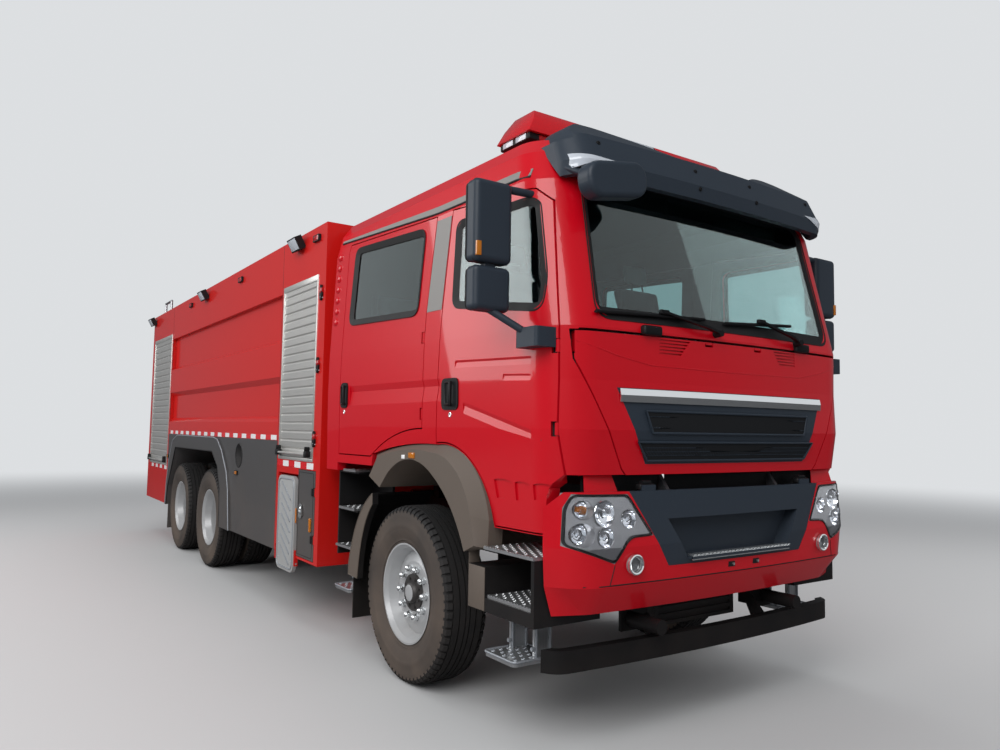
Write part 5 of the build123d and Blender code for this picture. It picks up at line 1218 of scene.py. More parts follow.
def build_treads():
    """Anti-slip rings and serrated lips of the treads, and the low cast steps; black discs in the ring
    openings are painted shade.
    """
    nubs, hole_shades, cast = blanks(3)
    for _, side in SIDES:
        for y0, y1, near, far, z in TREADS:
            x0, x1 = sorted((side * near, side * (far - 0.02)))
            add_nubs(hole_shades, nubs, x0, x1, aft(y0 + 0.008), aft(y1 - 0.008), z)
            teeth = int((y1 - y0) / 0.024)
            for tooth in range(teeth):
                y = y0 + (y1 - y0) * (tooth + 0.5) / teeth
                add_block(nubs, span(side * (far - 0.006), 0.007), span(y, 0.007), (z - 0.001, z + 0.0035),
                          0.001)
        for y0, y1, top in LOW_STEPS:
            x0, x1 = sorted((side * 0.975, side * 1.210))
            add_nubs(hole_shades, cast, x0, x1, aft(y0 + 0.012), aft(y1 - 0.012), LOW_STEP_TOP, 0.040)
            for y in (y0 + 0.025, y1 - 0.040):
                for x in (0.985, 1.070):
                    add_block(cast, span(side * x, 0.006), (y - 0.010, y + 0.024),
                              (LOW_STEP_TOP - 0.002, top), 0.004)
                middle = aft(y) + 0.007
                add_rod(cast, (side * 1.081, middle, 0.470), (side * 1.094, middle, 0.470), 0.013, 0.010)
            rim = rounded_box((0.960, y0), (1.222, y1), 0.030)
            add_tube(cast, [Vector((side * x, aft(y), LOW_STEP_TOP)) for x, y in rim], 0.006, closed=True)
    finished_all("steps", "chassis", (nubs, "rings", "tread aluminium", "bare_aluminium"),
                 (cast, "low_rims", "cast aluminium", "bare_aluminium"),
                 (hole_shades, "hole_shades", "moulded black plastic", "dark_plastic"))


def build_step_boards():
    """Ribs, rims and rivets of the folding step boards."""
    turn = Matrix.Rotation(math.radians(32), 4, "X")
    for word, side in SIDES:
        bm, rivets = blanks(2)
        for number in range(BOARD_RIBS):
            z = 0.460 + 0.607 / BOARD_RIBS * (number + 0.5)
            add_lump(bm, Vector((side * BOARD_FACE, aft(1.955), z)), (0.0035, 0.128, 0.0085), 0.0032, turn)
        line = rounded_box((1.7745, 0.4045), (2.1355, 1.1225), 0.060)
        add_tube(bm, lengthways(side * (BOARD_FACE - 0.0003), line), 0.006, closed=True)
        for y in (1.806, 2.104):
            for number in range(6):
                add_lathe(rivets, ((-0.001, 0.0075), (0.0025, 0.006), (0.004, 0.0)),
                          (side * (BOARD_FACE - 0.0005), aft(y), 0.47 + 0.118 * number), (side, 0, 0), 12)
        body = f"step_board_{word}"
        finished_all(body, body, (bm, "ribs", "cast aluminium", "bare_aluminium"),
                     (rivets, "rivets", "ladder steel", "ladder_steel"))


def build_splash_lips():
    """Lips round the splash guards of the front wheels."""
    bm = bmesh.new()
    face = [(0.343, 1.128), *map(tuple, bent((0.343, 1.128), (0.560, 0.935), (0.693, 0.620))),
            (0.693, 0.545), (0.545, 0.540), *map(tuple, bent((0.545, 0.540), (0.475, 0.850), (0.338, 1.052)))]
    for _, side in SIDES:
        side_plate(bm, grown(face, -0.002), *sorted((side * 1.2445, side * 1.2485)))
        add_tube(bm, lengthways(side * 1.2475, grown(face, -0.004)), 0.004, closed=True)
        add_block(bm, (side * 1.150, side * 1.2175), (-0.8015, -0.7975), (0.622, 0.934), 0.0015)
        add_block(bm, (side * 1.2135, side * 1.2180), (-0.952, -0.802), (0.622, 0.842), 0.002)
    finished(bm, "cab.splash_lips", "grey arch plastic", "chassis")


def build_steps():
    """Treads, folding boards and splash lips."""
    build_treads()
    build_step_boards()
    build_splash_lips()


# Body
SHUTTERS = ((1.430, 2.200, 1.300, 2.720), (6.740, 7.870, 1.030, 2.745))
# Reflective strips on each side as start, end, bottom and top
STRIPS = ((2.285, 6.565, 1.434, 1.476), (1.400, 2.230, 1.222, 1.270), (6.730, 7.880, 0.955, 1.003))
FILLER_HOLE = (3.395, 1.262)
OPENING_LINE = ((3.960, 0.507), (3.975, 0.900), (4.095, 1.128), (4.338, 1.272), (6.148, 1.268),
                (6.321, 1.023),
                (6.510, 0.760), (6.575, 0.507))
BAND_LINE = ((3.600, 0.507), (3.668, 0.898), (3.748, 1.089), (3.950, 1.292), (4.137, 1.402), (4.295, 1.422),
             (6.060, 1.422), (6.330, 1.350), (6.500, 1.090), (6.600, 0.800), (6.640, 0.507))


def strip_run(red, white, side, y0, y1, z0, z1):
    """Reflective strip of red and white squares along a side."""
    count = max(1, round((y1 - y0) / bpy.context.scene.truck_sizes.strip_square))
    for number in range(count):
        ends = [y0 + (y1 - y0) * (number + step) / count for step in (0, 1)]
        add_block(red if number % 2 else white, (side * 1.2502, side * 1.2520), ends, (z0, z1))


def side_shutter(rails, latches, side, y0, y1, z0, z1):
    """Guide rails, head, sill, lift bar and latches of one side shutter."""
    for y in (y0 - 0.002, y1 + 0.002):
        add_block(rails, (side * 1.2385, side * 1.2555), span(y, 0.014), (z0 - 0.012, z1 + 0.020), 0.003)
    across, ends = (side * 1.2385, side * 1.2565), (y0 - 0.014, y1 + 0.014)
    add_block(rails, across, ends, (z1 - 0.020, z1 + 0.028), 0.004)
    add_block(rails, across, ends, (z0 - 0.022, z0 + 0.004), 0.003)
    add_block(rails, (side * 1.2495, side * 1.2555), (y0 + 0.014, y1 - 0.014), (z0 + 0.008, z0 + 0.062),
              0.003)
    add_rod(rails, *lengthways(side * 1.282, ((y0 + 0.050, z0 + 0.036), (y1 - 0.050, z0 + 0.036))), 0.010)
    for y in (y0 + 0.050, y1 - 0.050):
        across = side * 1.2545, side * 1.298
        add_block(latches, across, span(y, 0.026), (z0 + 0.012, z0 + 0.062), 0.008)
        add_block(latches, across, span(y, 0.009), (z0 + 0.050, z0 + 0.096), 0.005)


def rear_shutter(rails, latches):
    """Guide rails, head, sill, lift bar and latches of the pump shutter."""
    for x in (-0.562, 0.562):
        add_block(rails, span(x, 0.014), (8.018, 8.035), (1.138, 2.67), 0.003)
    add_block(rails, (-0.576, 0.576), (8.018, 8.036), (2.630, 2.678), 0.004)
    add_block(rails, (-0.576, 0.576), (8.018, 8.034), (1.128, 1.154), 0.003)
    add_block(rails, (-0.548, 0.548), (8.026, 8.034), (1.158, 1.212), 0.003)
    add_rod(rails, (-0.500, aft(8.062), 1.190), (0.500, aft(8.062), 1.190), 0.010)
    for x in (-0.500, 0.500):
        add_block(latches, span(x, 0.026), (8.033, 8.078), (1.165, 1.215), 0.008)


def build_lockers():
    """Hinges, latch, marker and edge of each locker door."""
    for word, side in SIDES:
        body = f"locker_door_{word}"
        hinges, latch, lamp = blanks(3)
        for z in (0.690, 1.050):
            add_block(hinges, (side * 1.2495, side * 1.2560), (1.386, 1.418), span(z, 0.028), 0.003)
            add_rod(hinges, (side * 1.254, aft(1.391), z - 0.028), (side * 1.254, aft(1.391), z + 0.028),
                    0.005)
        line = rounded_box((1.386, 0.548), (1.700, 1.192), 0.010)
        add_tube(hinges, lengthways(side * 1.2498, line), 0.0022, closed=True)
        side_plate(latch, rounded_box((1.604, 0.832), (1.652, 0.946), 0.020), side * 1.2575, side * 1.262)
        add_rod(latch, (side * 1.262, aft(1.628), 0.908), (side * 1.269, aft(1.628), 0.908), 0.015, 0.012)
        add_block(latch, (side * 1.262, side * 1.272), (1.619, 1.637), (0.842, 0.900), 0.004)
        add_block(lamp, (side * 1.2495, side * 1.2625), (1.408, 1.440), (0.745, 0.850), 0.005)
        finished_all(body, body, (hinges, "hinges", "moulded black plastic", "dark_plastic"),
                     (latch, "latch", "bright chrome", "ladder_steel"),
                     (lamp, "marker", "amber lens", "lamp_lens"))


def build_body():
    """Reflective strips, shutter rails, bars and latches, locker fittings, skirt rings and seams."""
    red, white, rails, latches, seams, inside, rings, edge = blanks(8)
    for _, side in SIDES:
        for strip in STRIPS:
            strip_run(red, white, side, *strip)
        for shutter in SHUTTERS:
            side_shutter(rails, latches, side, *shutter)
        for y in (2.2535, 6.668):
            add_block(seams, (side * 1.2482, side * 1.2506), span(y, 0.0025), (1.06, 3.136))
        hole, out = (side * 1.250, aft(FILLER_HOLE[0]), FILLER_HOLE[1]), (side, 0, 0)
        add_lathe(rings,
                  ((-0.030, 0.1085), (0.0015, 0.1080), (0.0045, 0.112), (0.0035, 0.119), (0.0002, 0.122)),
                  hole, out, 48)
        add_lathe(inside, ((-0.055, 0.0), (-0.052, 0.108)), hole, out, 40)
        add_lathe(inside, ((-0.052, 0.045), (-0.030, 0.042), (-0.026, 0.034), (-0.026, 0.0)), hole, out, 28)
        add_tube(edge, lengthways(side * 1.2715, BAND_LINE), 0.0055)
        add_tube(rings, lengthways(side * 1.2705, OPENING_LINE), 0.006)
    rear_shutter(rails, latches)
    finished_all("body", "chassis", (red, "strips_red", "reflective red", "beacon_red"),
                 (white, "strips_white", "reflective white", "lamp_lens"),
                 (rails, "shutter_rails", "shutter aluminium", "shutter_aluminium"),
                 (latches, "shutter_latches", "moulded black plastic", "dark_plastic"),
                 (seams, "seams", "seal rubber", "arch_plastic"))
    finished_all("skirt", "chassis", (inside, "hole_insides", "moulded black plastic", "dark_plastic"),
                 (rings, "rings", "seal rubber", "arch_plastic"),
                 (edge, "band_edges", "cast aluminium", "bare_aluminium"))
    build_lockers()


# Seats
CABIN_FLOOR = 1.5204
FRONT_SEATS = (-0.56, 0.56)
CREW_SEATS = (-0.738, -0.246, 0.246, 0.738)
# Pads as name, low and high corner (across, aft, up), sewn channels, shear and fill
SEAT_PADS = (
    ("cushion", (-0.215, -0.725, 1.835), (0.215, -0.345, 1.925),
     ((0, -0.13, 2, 1), (0, 0.13, 2, 1), (1, -0.58, 2, 1), (1, -0.47, 2, 1)), None, 0.75),
    ("back", (-0.205, -0.385, 1.945), (0.205, -0.312, 2.590),
     ((0, -0.125, 1, -1), (0, 0.125, 1, -1), (2, 2.12, 1, -1), (2, 2.28, 1, -1), (2, 2.44, 1, -1)),
     (1.920, 0.171), 0.75),
    ("headrest", (-0.110, -0.270, 2.632), (0.110, -0.214, 2.775), (), (2.610, 0.17), 0.85),
)
BENCH_PADS = (
    ("cushion", (-0.225, 0.440, 1.822), (0.225, 0.885, 1.932),
     ((0, -0.12, 2, 1), (0, 0.12, 2, 1), (1, 0.66, 2, 1)), None, 0.75),
    ("back", (-0.225, 0.915, 1.965), (0.225, 0.985, 2.545),
     ((0, -0.12, 1, -1), (0, 0.12, 1, -1), (2, 2.15, 1, -1), (2, 2.35, 1, -1)), None, 0.75),
)
PAD_STEP = 0.024
PUFF_LIMIT = 0.014
CLOTH_FRAMES = 20


def pad_mesh(name, low, high, channels, shear):
    """Closed pad of small faces with rounded corners, and a group of its sewn points."""
    bm = bmesh.new()
    add_box(bm, low, high)
    for axis in range(3):
        count = max(2, int((high[axis] - low[axis]) / PAD_STEP))
        normal = [0, 0, 0]
        normal[axis] = 1
        for number in range(1, count):
            place = [0, 0, 0]
            place[axis] = low[axis] + (high[axis] - low[axis]) * number / count
            bmesh.ops.bisect_plane(bm, geom=bm.verts[:] + bm.edges[:] + bm.faces[:], plane_co=place,
                                   plane_no=normal,
                                   dist=1e-6)
    for _ in range(3):
        bmesh.ops.smooth_vert(bm, verts=bm.verts, factor=0.5, use_axis_x=True, use_axis_y=True,
                              use_axis_z=True)
    bm.verts.index_update()
    sewn = []
    for axis, value, face_axis, face_sign in channels:
        outer = high[face_axis] if face_sign > 0 else low[face_axis]
        for vert in bm.verts:
            if abs(vert.co[axis] - value) < PAD_STEP * 0.55 and abs(vert.co[face_axis] - outer) < 0.045:
                sewn.append(vert.index)
                vert.co[face_axis] -= face_sign * 0.008
    if shear:
        for vert in bm.verts:
            vert.co.y += (vert.co.z - shear[0]) * shear[1]
    mesh = bpy.data.meshes.new(name)
    bmesh.ops.recalc_face_normals(bm, faces=bm.faces)
    bm.to_mesh(mesh)
    bm.free()
    piece = bpy.data.objects.new(name, mesh)
    bpy.context.scene.collection.objects.link(piece)
    group = piece.vertex_groups.new(name="sewn")
    if sewn:
        group.add(sewn, 1.0, "REPLACE")
    return piece


def puffed(piece):
    """Let pressure swell a pad between its sewn lines, then keep the shape."""
    mesh = piece.data
    rest = [vert.co.copy() for vert in mesh.vertices]
    cloth = piece.modifiers.new("fill", "CLOTH")
    cloth.settings.use_pressure = True
    cloth.settings.uniform_pressure_force = 4.0
    cloth.settings.vertex_group_mass = "sewn"
    cloth.settings.effector_weights.gravity = 0.0
    cloth.point_cache.frame_start = 1
    cloth.point_cache.frame_end = CLOTH_FRAMES
    for number in range(1, CLOTH_FRAMES + 1):
        bpy.context.scene.frame_set(number)
    graph = bpy.context.evaluated_depsgraph_get()
    shaped = piece.evaluated_get(graph).to_mesh()
    moved = [vert.co.copy() for vert in shaped.vertices]
    piece.evaluated_get(graph).to_mesh_clear()
    piece.modifiers.remove(cloth)
    bpy.context.scene.frame_set(1)
    for vert, start, end in zip(mesh.vertices, rest, moved):
        step = end - start
        if step.length > PUFF_LIMIT:
            step *= PUFF_LIMIT / step.length
        vert.co = start + step
    smooth = piece.modifiers.new("skin", "SUBSURF")
    smooth.levels = smooth.render_levels = 1
    for face in mesh.polygons:
        face.use_smooth = True


def set_pad(name, spec, x):
    """Make one pad at a seat's middle."""
    label, low, high, channels, shear, fill = spec
    moved = [(axis, (value + x, aft(value), value)[axis], *rest) for axis, value, *rest in channels]
    piece = pad_mesh(f"{name}.{label}", (x + low[0], aft(low[1]), low[2]),
                     (x + high[0], aft(high[1]), high[2]),
                     moved, shear)
    puffed(piece)
    piece.data.materials.append(FINISHES["white cover" if label == "headrest" else "seat cloth"])
    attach(piece, "cab")
    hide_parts("seats")
    return piece


def add_belt(belts, steel, piece, x):
    """Belt laid over a seat's back from the outer shoulder, with its buckle."""
    tree = BVHTree.FromObject(piece, bpy.context.evaluated_depsgraph_get())
    outboard = 1 if x > 0 else -1
    low, high = (1.99, 2.53) if x in FRONT_SEATS else (2.01, 2.50)
    edges = []
    for offset in (-0.022, 0.022):
        line = []
        for number in range(15):
            t = number / 14
            spot = Vector((x + outboard * (0.15 - 0.27 * t) + offset, 0, high + (low - high) * t))
            hit = tree.ray_cast(Vector((spot.x, aft(-1.1), spot.z)), Vector((0, 1, 0)))[0]
            line.append((hit or Vector((spot.x, aft(-0.33), spot.z))) - Vector((0, 0.004, 0)))
        edges.append(line)
    add_band(belts, edges[0], edges[1], 0.0016, closed=False)
    end = edges[0][-1].lerp(edges[1][-1], 0.5)
    add_box(steel, end - Vector((0.026, 0.012, 0.05)), end + Vector((0.026, 0.004, 0.0)), 0.005)


def build_seats():
    """Padded front seats and crew bench, their bases, rails and belts."""
    backs = []
    for place, middles, specs in (("front", FRONT_SEATS, SEAT_PADS), ("crew", CREW_SEATS, BENCH_PADS)):
        for number, x in enumerate(middles):
            for spec in specs:
                piece = set_pad(f"{place}_seat_{number + 1}", spec, x)
                if spec[0] == "back":
                    backs.append((piece, x))
    base, steel, belts = blanks(3)
    for x in FRONT_SEATS:
        for layer in range(5):
            grow = 0.012 if layer % 2 else 0.0
            z = 1.560 + 0.044 * layer
            add_block(base, span(x, 0.160 + grow), (-0.690 - grow, -0.410 + grow), (z, z + 0.046), 0.014,
                      segments=3)
        add_block(base, span(x, 0.180), (-0.700, -0.400), (CABIN_FLOOR, 1.562), 0.008)
        add_block(base, span(x, 0.225), (-0.735, -0.330), (1.778, 1.834), 0.018, segments=3)
        for sign in (-1, 1):
            add_rod(steel, (x + sign * 0.055, aft(-0.256), 2.56), (x + sign * 0.055, aft(-0.238), 2.66),
                    0.006)
            add_block(base, span(x + sign * 0.236, 0.012), (-0.480, -0.360), (1.795, 1.880), 0.010)
            add_block(steel, span(x + sign * 0.130, 0.018), (-0.730, -0.350), (1.764, 1.782), 0.003)
        add_rod(base, (x + 0.215, aft(-0.700), 1.812), (x + 0.236, aft(-0.740), 1.800), 0.010)
    add_block(base, (-0.950, 0.950), (0.520, 0.980), (CABIN_FLOOR, 1.800), 0.008)
    add_block(base, (-0.985, 0.985), (0.440, 0.990), (1.800, 1.822), 0.008)
    add_block(base, (-0.985, 0.985), (0.980, 0.998), (1.822, 2.555), 0.006)
    for x in (-0.475, 0.0, 0.475):
        add_block(steel, span(x, 0.003), (0.5175, 0.522), (1.56, 1.78), 0.001)
    for piece, x in backs:
        add_belt(belts, steel, piece, x)
    finished(base, "seats.bases", "cabin trim plastic", "cab", ("seats",))
    finished_all("seats", "cab", (steel, "rails", "hub iron", "cast_parts"),
                 (belts, "belts", "belt webbing", "seat_fabric"))


# Cabin
WHEEL_MIDDLE = (0.56, -0.970, 2.116)
WHEEL_GRIP = 0.222
DOOR_CARDS = (("front", ((-1.36, 1.60), (-0.54, 1.60), (-0.58, 2.20), (-1.33, 2.10))),
              ("rear", ((-0.16, 1.62), (0.90, 1.44), (0.86, 2.24), (-0.18, 2.20))))


def build_cards():
    """Card, arm rest and pocket on the inside of each door."""
    for word, side in SIDES:
        for which, line in DOOR_CARDS:
            body = f"door_{which}_{word}"
            tree = surface_of(body)
            out = Vector((side, 0, 0))
            bm = bmesh.new()
            points = []
            for y, z in dense(rounded(line, 0.06), 0.1):
                hit = tree.ray_cast(Vector((side * 0.5, aft(y), z)), out)[0]
                points.append((hit or Vector((side * 1.11, aft(y), z))) - out * 0.004)
            add_plate(bm, points, (side * 0.003, 0, 0))
            middle = (line[0][0] + line[1][0]) / 2
            rest = tree.ray_cast(Vector((side * 0.5, aft(middle), 1.9)), out)[0]
            if rest:
                for depth, y0, y1, z0, z1 in ((0.05, -0.28, 0.24, 1.90, 1.945),
                                              (0.035, -0.30, 0.26, 1.60, 1.70)):
                    add_block(bm, (rest.x, rest.x - side * depth), (middle + y0, middle + y1), (z0, z1),
                              0.014,
                              segments=3)
            finished(bm, f"{body}.card", "cabin trim plastic", body)


def build_cabin():
    """Steering wheel grip, instrument hood, vents, switches, floor mat, roof shelf and door cards."""
    grip, hood, switches, glow, mat, shelf = blanks(6)
    x, y, z = WHEEL_MIDDLE
    tilt = Matrix.Translation((x, aft(y), z)) @ Matrix.Rotation(math.radians(-32), 4, "X")
    turns = [math.tau * n / 64 for n in range(64)]
    add_tube(grip,
             [tilt @ Vector((WHEEL_GRIP * math.cos(turn), WHEEL_GRIP * math.sin(turn), 0)) for turn in turns],
             0.0175, closed=True)
    add_lathe(grip, ((-0.022, 0.060), (0.022, 0.064), (0.034, 0.050), (0.038, 0.0)), tilt @ Vector((0, 0, 0)),
              tilt.to_3x3() @ Vector((0, 0, 1)), 32)
    add_block(hood, (0.36, 0.76), (-1.27, -1.07), (2.080, 2.165), 0.035, Matrix.Rotation(0.12, 4, "X"), 4)
    add_block(hood, (-0.20, 0.20), (-1.06, -1.000), (1.930, 2.080), 0.020, Matrix.Rotation(-0.12, 4, "X"), 3)
    add_block(hood, (-0.27, 0.25), (-1.20, -0.28), (CABIN_FLOOR, 1.660), 0.040, segments=4)
    for x in (-0.86, -0.36, 0.86, 0.28):
        for number in range(5):
            z = 2.035 + 0.012 * number
            add_block(switches, span(x, 0.06), (-1.055, -1.022), (z, z + 0.005), 0.001,
                      Matrix.Rotation(-0.5, 4, "X"))
    for column in range(5):
        for row in range(2):
            x, z = -0.15 + 0.062 * column, 1.95 + 0.030 * row
            add_block(switches, (x, x + 0.05), (-0.999, -0.990), (z, z + 0.022), 0.003)
    add_rod(switches, (0.19, aft(-0.62), 1.655), (0.17, aft(-0.66), 1.900), 0.010)
    add_lathe(switches, ((-0.03, 0.014), (0.0, 0.024), (0.025, 0.022), (0.035, 0.0)),
              (0.17, aft(-0.66), 1.92),
              (0, -0.1, 1), 24)
    add_block(glow, (-0.10, 0.10), (-0.9975, -0.9925), (2.010, 2.062), 0.004)
    add_block(mat, (-1.10, 1.10), (-1.34, 0.50), (CABIN_FLOOR + 0.0001, 1.529), 0.003)
    add_block(shelf, (-0.90, 0.90), (-1.28, -1.02), (2.925, 2.965), 0.012, segments=3)
    for x in (-0.5, 0.5):
        add_block(shelf, span(x, 0.30), (-1.262, -1.250), (2.800, 2.925), 0.006,
                  Matrix.Rotation(0.15, 4, "X"))
    finished_all("cabin", "cab", (grip, "wheel_grip", "moulded black plastic", "trim_plastic"),
                 (hood, "hood", "cabin trim plastic", "trim_plastic"),
                 (switches, "switches", "moulded black plastic", "trim_plastic"),
                 (glow, "screen", "cabin screen", "lamp_lens"),
                 (mat, "floor_mat", "seal rubber", "trim_plastic"),
                 (shelf, "roof_shelf", "cabin trim plastic", "trim_plastic"))
    build_cards()


# Roof and rear
MONITOR_AFT = 7.300
HATCH_AFT = 4.300
DECK = 3.0005
REAR_SKIN = 8.0305
LADDER_AFT = 8.011
WALKWAYS = ((2.40, 3.85), (4.85, 6.90))
UP = Vector((0, 0, 1))


def bolt_circle(bm, middle, radius, count, tall, bolt, skip=None):
    """Hexagonal bolts on a circle that lies flat."""
    for number in range(count):
        angle = math.tau * number / count
        if skip is None or abs(angle - skip) > 0.3:
            spot = middle + Vector((radius * math.cos(angle), radius * math.sin(angle), 0))
            add_rod(bm, spot, spot + UP * tall, bolt, sides=6)


def build_monitor():
    """Flanges, turret rings and barrel rings of the water monitor."""
    y = aft(MONITOR_AFT)
    flanges, turret, barrel = blanks(3)
    add_lathe(flanges, ((-0.012, 0.076), (-0.012, 0.100), (0.0015, 0.100), (0.0015, 0.076)), (0, y, 3.188),
              UP, 40,
              True)
    bolt_circle(flanges, Vector((0, y, 3.189)), 0.088, 8, 0.010, 0.008)
    add_lathe(flanges, ((0, 0.0765), (0.0, 0.115), (0.012, 0.115), (0.012, 0.0765)), (0, y, DECK), UP, 40,
              True)
    for z in (3.215, 3.245, 3.305):
        add_lathe(turret, ((0, 0.0845), (0.003, 0.089), (0.009, 0.089), (0.012, 0.0845)), (0, y, z), UP, 40)
    pivot, ahead = Vector((0, y, 3.430)), Vector((0, -1, 0))
    for place in (0.10, 0.20, 0.44):
        add_lathe(barrel, ((0, 0.0425), (0.002, 0.0485), (0.016, 0.0485), (0.018, 0.0425)),
                  pivot + ahead * place, ahead, 32)
    add_lathe(barrel,
              ((0, 0.0575), (0.003, 0.066), (0.055, 0.068), (0.062, 0.0615), (0.064, 0.045), (0.030, 0.040)),
              pivot + ahead * 0.655, ahead, 40)
    add_tube(barrel,
             [pivot + Vector(spot)
              for spot in ((-0.042, -0.28, 0), (-0.09, -0.28, 0.02), (-0.09, -0.36, 0.02),
                           (-0.042, -0.36, 0))], 0.007)
    finished(flanges, "monitor.flanges", "hub iron", "chassis")
    finished(turret, "monitor.turret_rings", "ladder steel", "monitor_turret")
    finished(barrel, "monitor.barrel_rings", "hub iron", "monitor_barrel")


def build_deck():
    """Hatch bolts and ring, and the roof walkway with its ridges."""
    bolts, plates, ridges = blanks(3)
    bolt_circle(bolts, Vector((0, aft(HATCH_AFT), 3.082)), 0.285, 16, 0.009, 0.009, math.pi / 2)
    add_lathe(bolts, ((0.0, 0.150), (0.004, 0.145), (0.004, 0.120), (0.0, 0.115)),
              (0, aft(HATCH_AFT), 3.0828), UP, 40)
    for y0, y1 in WALKWAYS:
        add_block(plates, (-0.36, 0.36), (y0, y1), (DECK, 3.006), 0.002)
        for row in range(int((y1 - y0) / 0.11)):
            for column in range(7):
                turn = Matrix.Rotation(math.radians(45 if (row + column) % 2 else -45), 4, "Z")
                spot = Vector((-0.30 + 0.10 * column, aft(y0 + 0.06 + 0.11 * row), 3.0068))
                add_lump(ridges, spot, (0.030, 0.006, 0.001), 0.0008, turn)
    return bolts, plates, ridges


def build_roof_and_rear():
    """Monitor flanges, hatch bolts, ladder sleeves, roof walkway and rear fittings."""
    build_monitor()
    bolts, plates, ridges = build_deck()
    sleeves, frames, bars, red, white = blanks(5)
    for rung in range(8):
        for ring in range(11):
            add_lathe(sleeves, ((0, 0.0128), (0.003, 0.0152), (0.009, 0.0152), (0.012, 0.0128)),
                      (-1.060 + 0.030 * ring, aft(LADDER_AFT), 0.800 + 0.305 * rung), (1, 0, 0), 14)
    for x in (-1.090, -0.730):
        for z in (0.850, 1.900, 2.950):
            add_lathe(sleeves, ((0, 0.030), (0.005, 0.028), (0.007, 0.012)), (x, aft(REAR_SKIN), z),
                      (0, 1, 0), 20)
    for _, side in SIDES:
        x0, x1 = sorted((side * 0.825, side * 1.135))
        line = rounded_box((x0, 0.612), (x1, 0.748), 0.012)
        add_tube(frames, crossways(8.0415, line), 0.006, closed=True)
        for z in (2.20, 1.20):
            add_rod(bars, (side * 1.190, aft(8.062), z), (side * 1.190, aft(8.062), z + 0.42), 0.012)
            for end in (z + 0.01, z + 0.41):
                add_rod(bars, (side * 1.190, aft(REAR_SKIN), end), (side * 1.190, aft(8.062), end), 0.009)
    for number in range(14):
        x = (-1.225 if number < 7 else -0.245) + 0.105 * number
        add_block(red if number % 2 else white, (x, x + 0.105), (8.0298, 8.0318), (0.800, 0.850))
    finished(bolts, "hatch.bolts", "hub iron", "manhole_lid")
    finished(sleeves, "ladder.sleeves", "moulded black plastic", "chassis")
    finished_all("roof", "chassis", (plates, "walkway", "tread aluminium", "bare_aluminium"),
                 (ridges, "walkway_ridges", "ladder steel", "ladder_steel"))
    finished_all("rear", "chassis", (frames, "lamp_frames", "seal rubber", "arch_plastic"),
                 (bars, "grab_bars", "ladder steel", "ladder_steel"),
                 (red, "strips_red", "reflective red", "beacon_red"),
                 (white, "strips_white", "reflective white", "lamp_lens"))


# Underside
def build_underside():
    """Spring bolts, tank straps, brake chambers, sump ribs and caps."""
    bolts, straps, cast = blanks(3)
    for side in (-1, 1):
        for y in (-0.045, 0.045):
            for x in (0.385, 0.475):
                add_rod(bolts, (side * x, aft(y), 0.420), (side * x, aft(y), 0.575), 0.009, sides=12)
                add_rod(bolts, (side * x, aft(y), 0.420), (side * x, aft(y), 0.438), 0.015, sides=6)
        for centre in REAR_AXLES:
            for y in (centre - 0.090, centre + 0.090):
                for x in (0.430, 0.512):
                    add_rod(bolts, (side * x, y, 0.455), (side * x, y, 0.645), 0.010, sides=12)
            x = side * 0.600
            add_rod(cast, (x, centre + 0.080, 0.700), (x, centre + 0.280, 0.700), 0.085, 0.070, 28)
            add_rod(cast, (x, centre + 0.060, 0.700), (x, centre + 0.082, 0.700), 0.090, sides=28)
            add_lathe(bolts, ((0, 0.150), (0.012, 0.150), (0.012, 0.120), (0, 0.120)),
                      (side * 0.076, centre, AXLE_HEIGHT), (side, 0, 0), 24, True)
    line = rounded_box((0.519, 0.559), (1.131, 1.131), 0.062)
    for y in (2.700, 3.340):
        for shift in (0.010, 0.050):
            add_tube(straps, crossways(y + shift, line), 0.003, closed=True)
        add_band(straps, crossways(y, line), crossways(y + 0.060, line), 0.0015)
    add_lathe(bolts, ((0.0, 0.055), (0.030, 0.055), (0.036, 0.048), (0.036, 0.0)), (1.00, aft(2.75), 1.1290),
              (0, 0, 1), 32)
    for y in (2.420, 3.170):
        for step in (0.15, 0.50):
            add_lathe(straps, ((0, 0.1305), (0.0, 0.1335), (0.050, 0.1335), (0.050, 0.1305)),
                      (-0.700, aft(y + step), 0.760), (0, 1, 0), 40, True)
        for end in (0.0, 0.700):
            add_lathe(straps, ((0, 0.129), (0.004, 0.120), (0.010, 0.060), (0.012, 0.0)),
                      (-0.700, aft(y + end), 0.760), (0, 1 if end else -1, 0), 32)
    for number in range(9):
        y = -0.98 + 0.14 * number
        add_block(cast, (-0.302, 0.302), (y, y + 0.018), (0.618, 0.700), 0.004)
    finished_all("underside", "chassis", (bolts, "bolts", "hub iron", "cast_parts"),
                 (straps, "straps", "ladder steel", "ladder_steel"),
                 (cast, "castings", "cast black iron", "cast_parts"))


# Stage
STAGE_FLOOR_HALF = 60.0
FADE_START = 8.0
FADE_END = 22.0
PALE = (0.80, 0.82, 0.84, 1.0)
PALE_STRENGTH = 0.9
CAMERA_SPOT = (-3.4315, -7.5188, 1.5524)
CAMERA_TURNS = ((-34.5583, "Z"), (94.0935, "X"), (0.8891, "Z"))


def stage_object(name, data):
    """An object of the stage, linked to the scene."""
    holder = bpy.data.objects.new(name, data)
    bpy.context.scene.collection.objects.link(holder)
    return holder


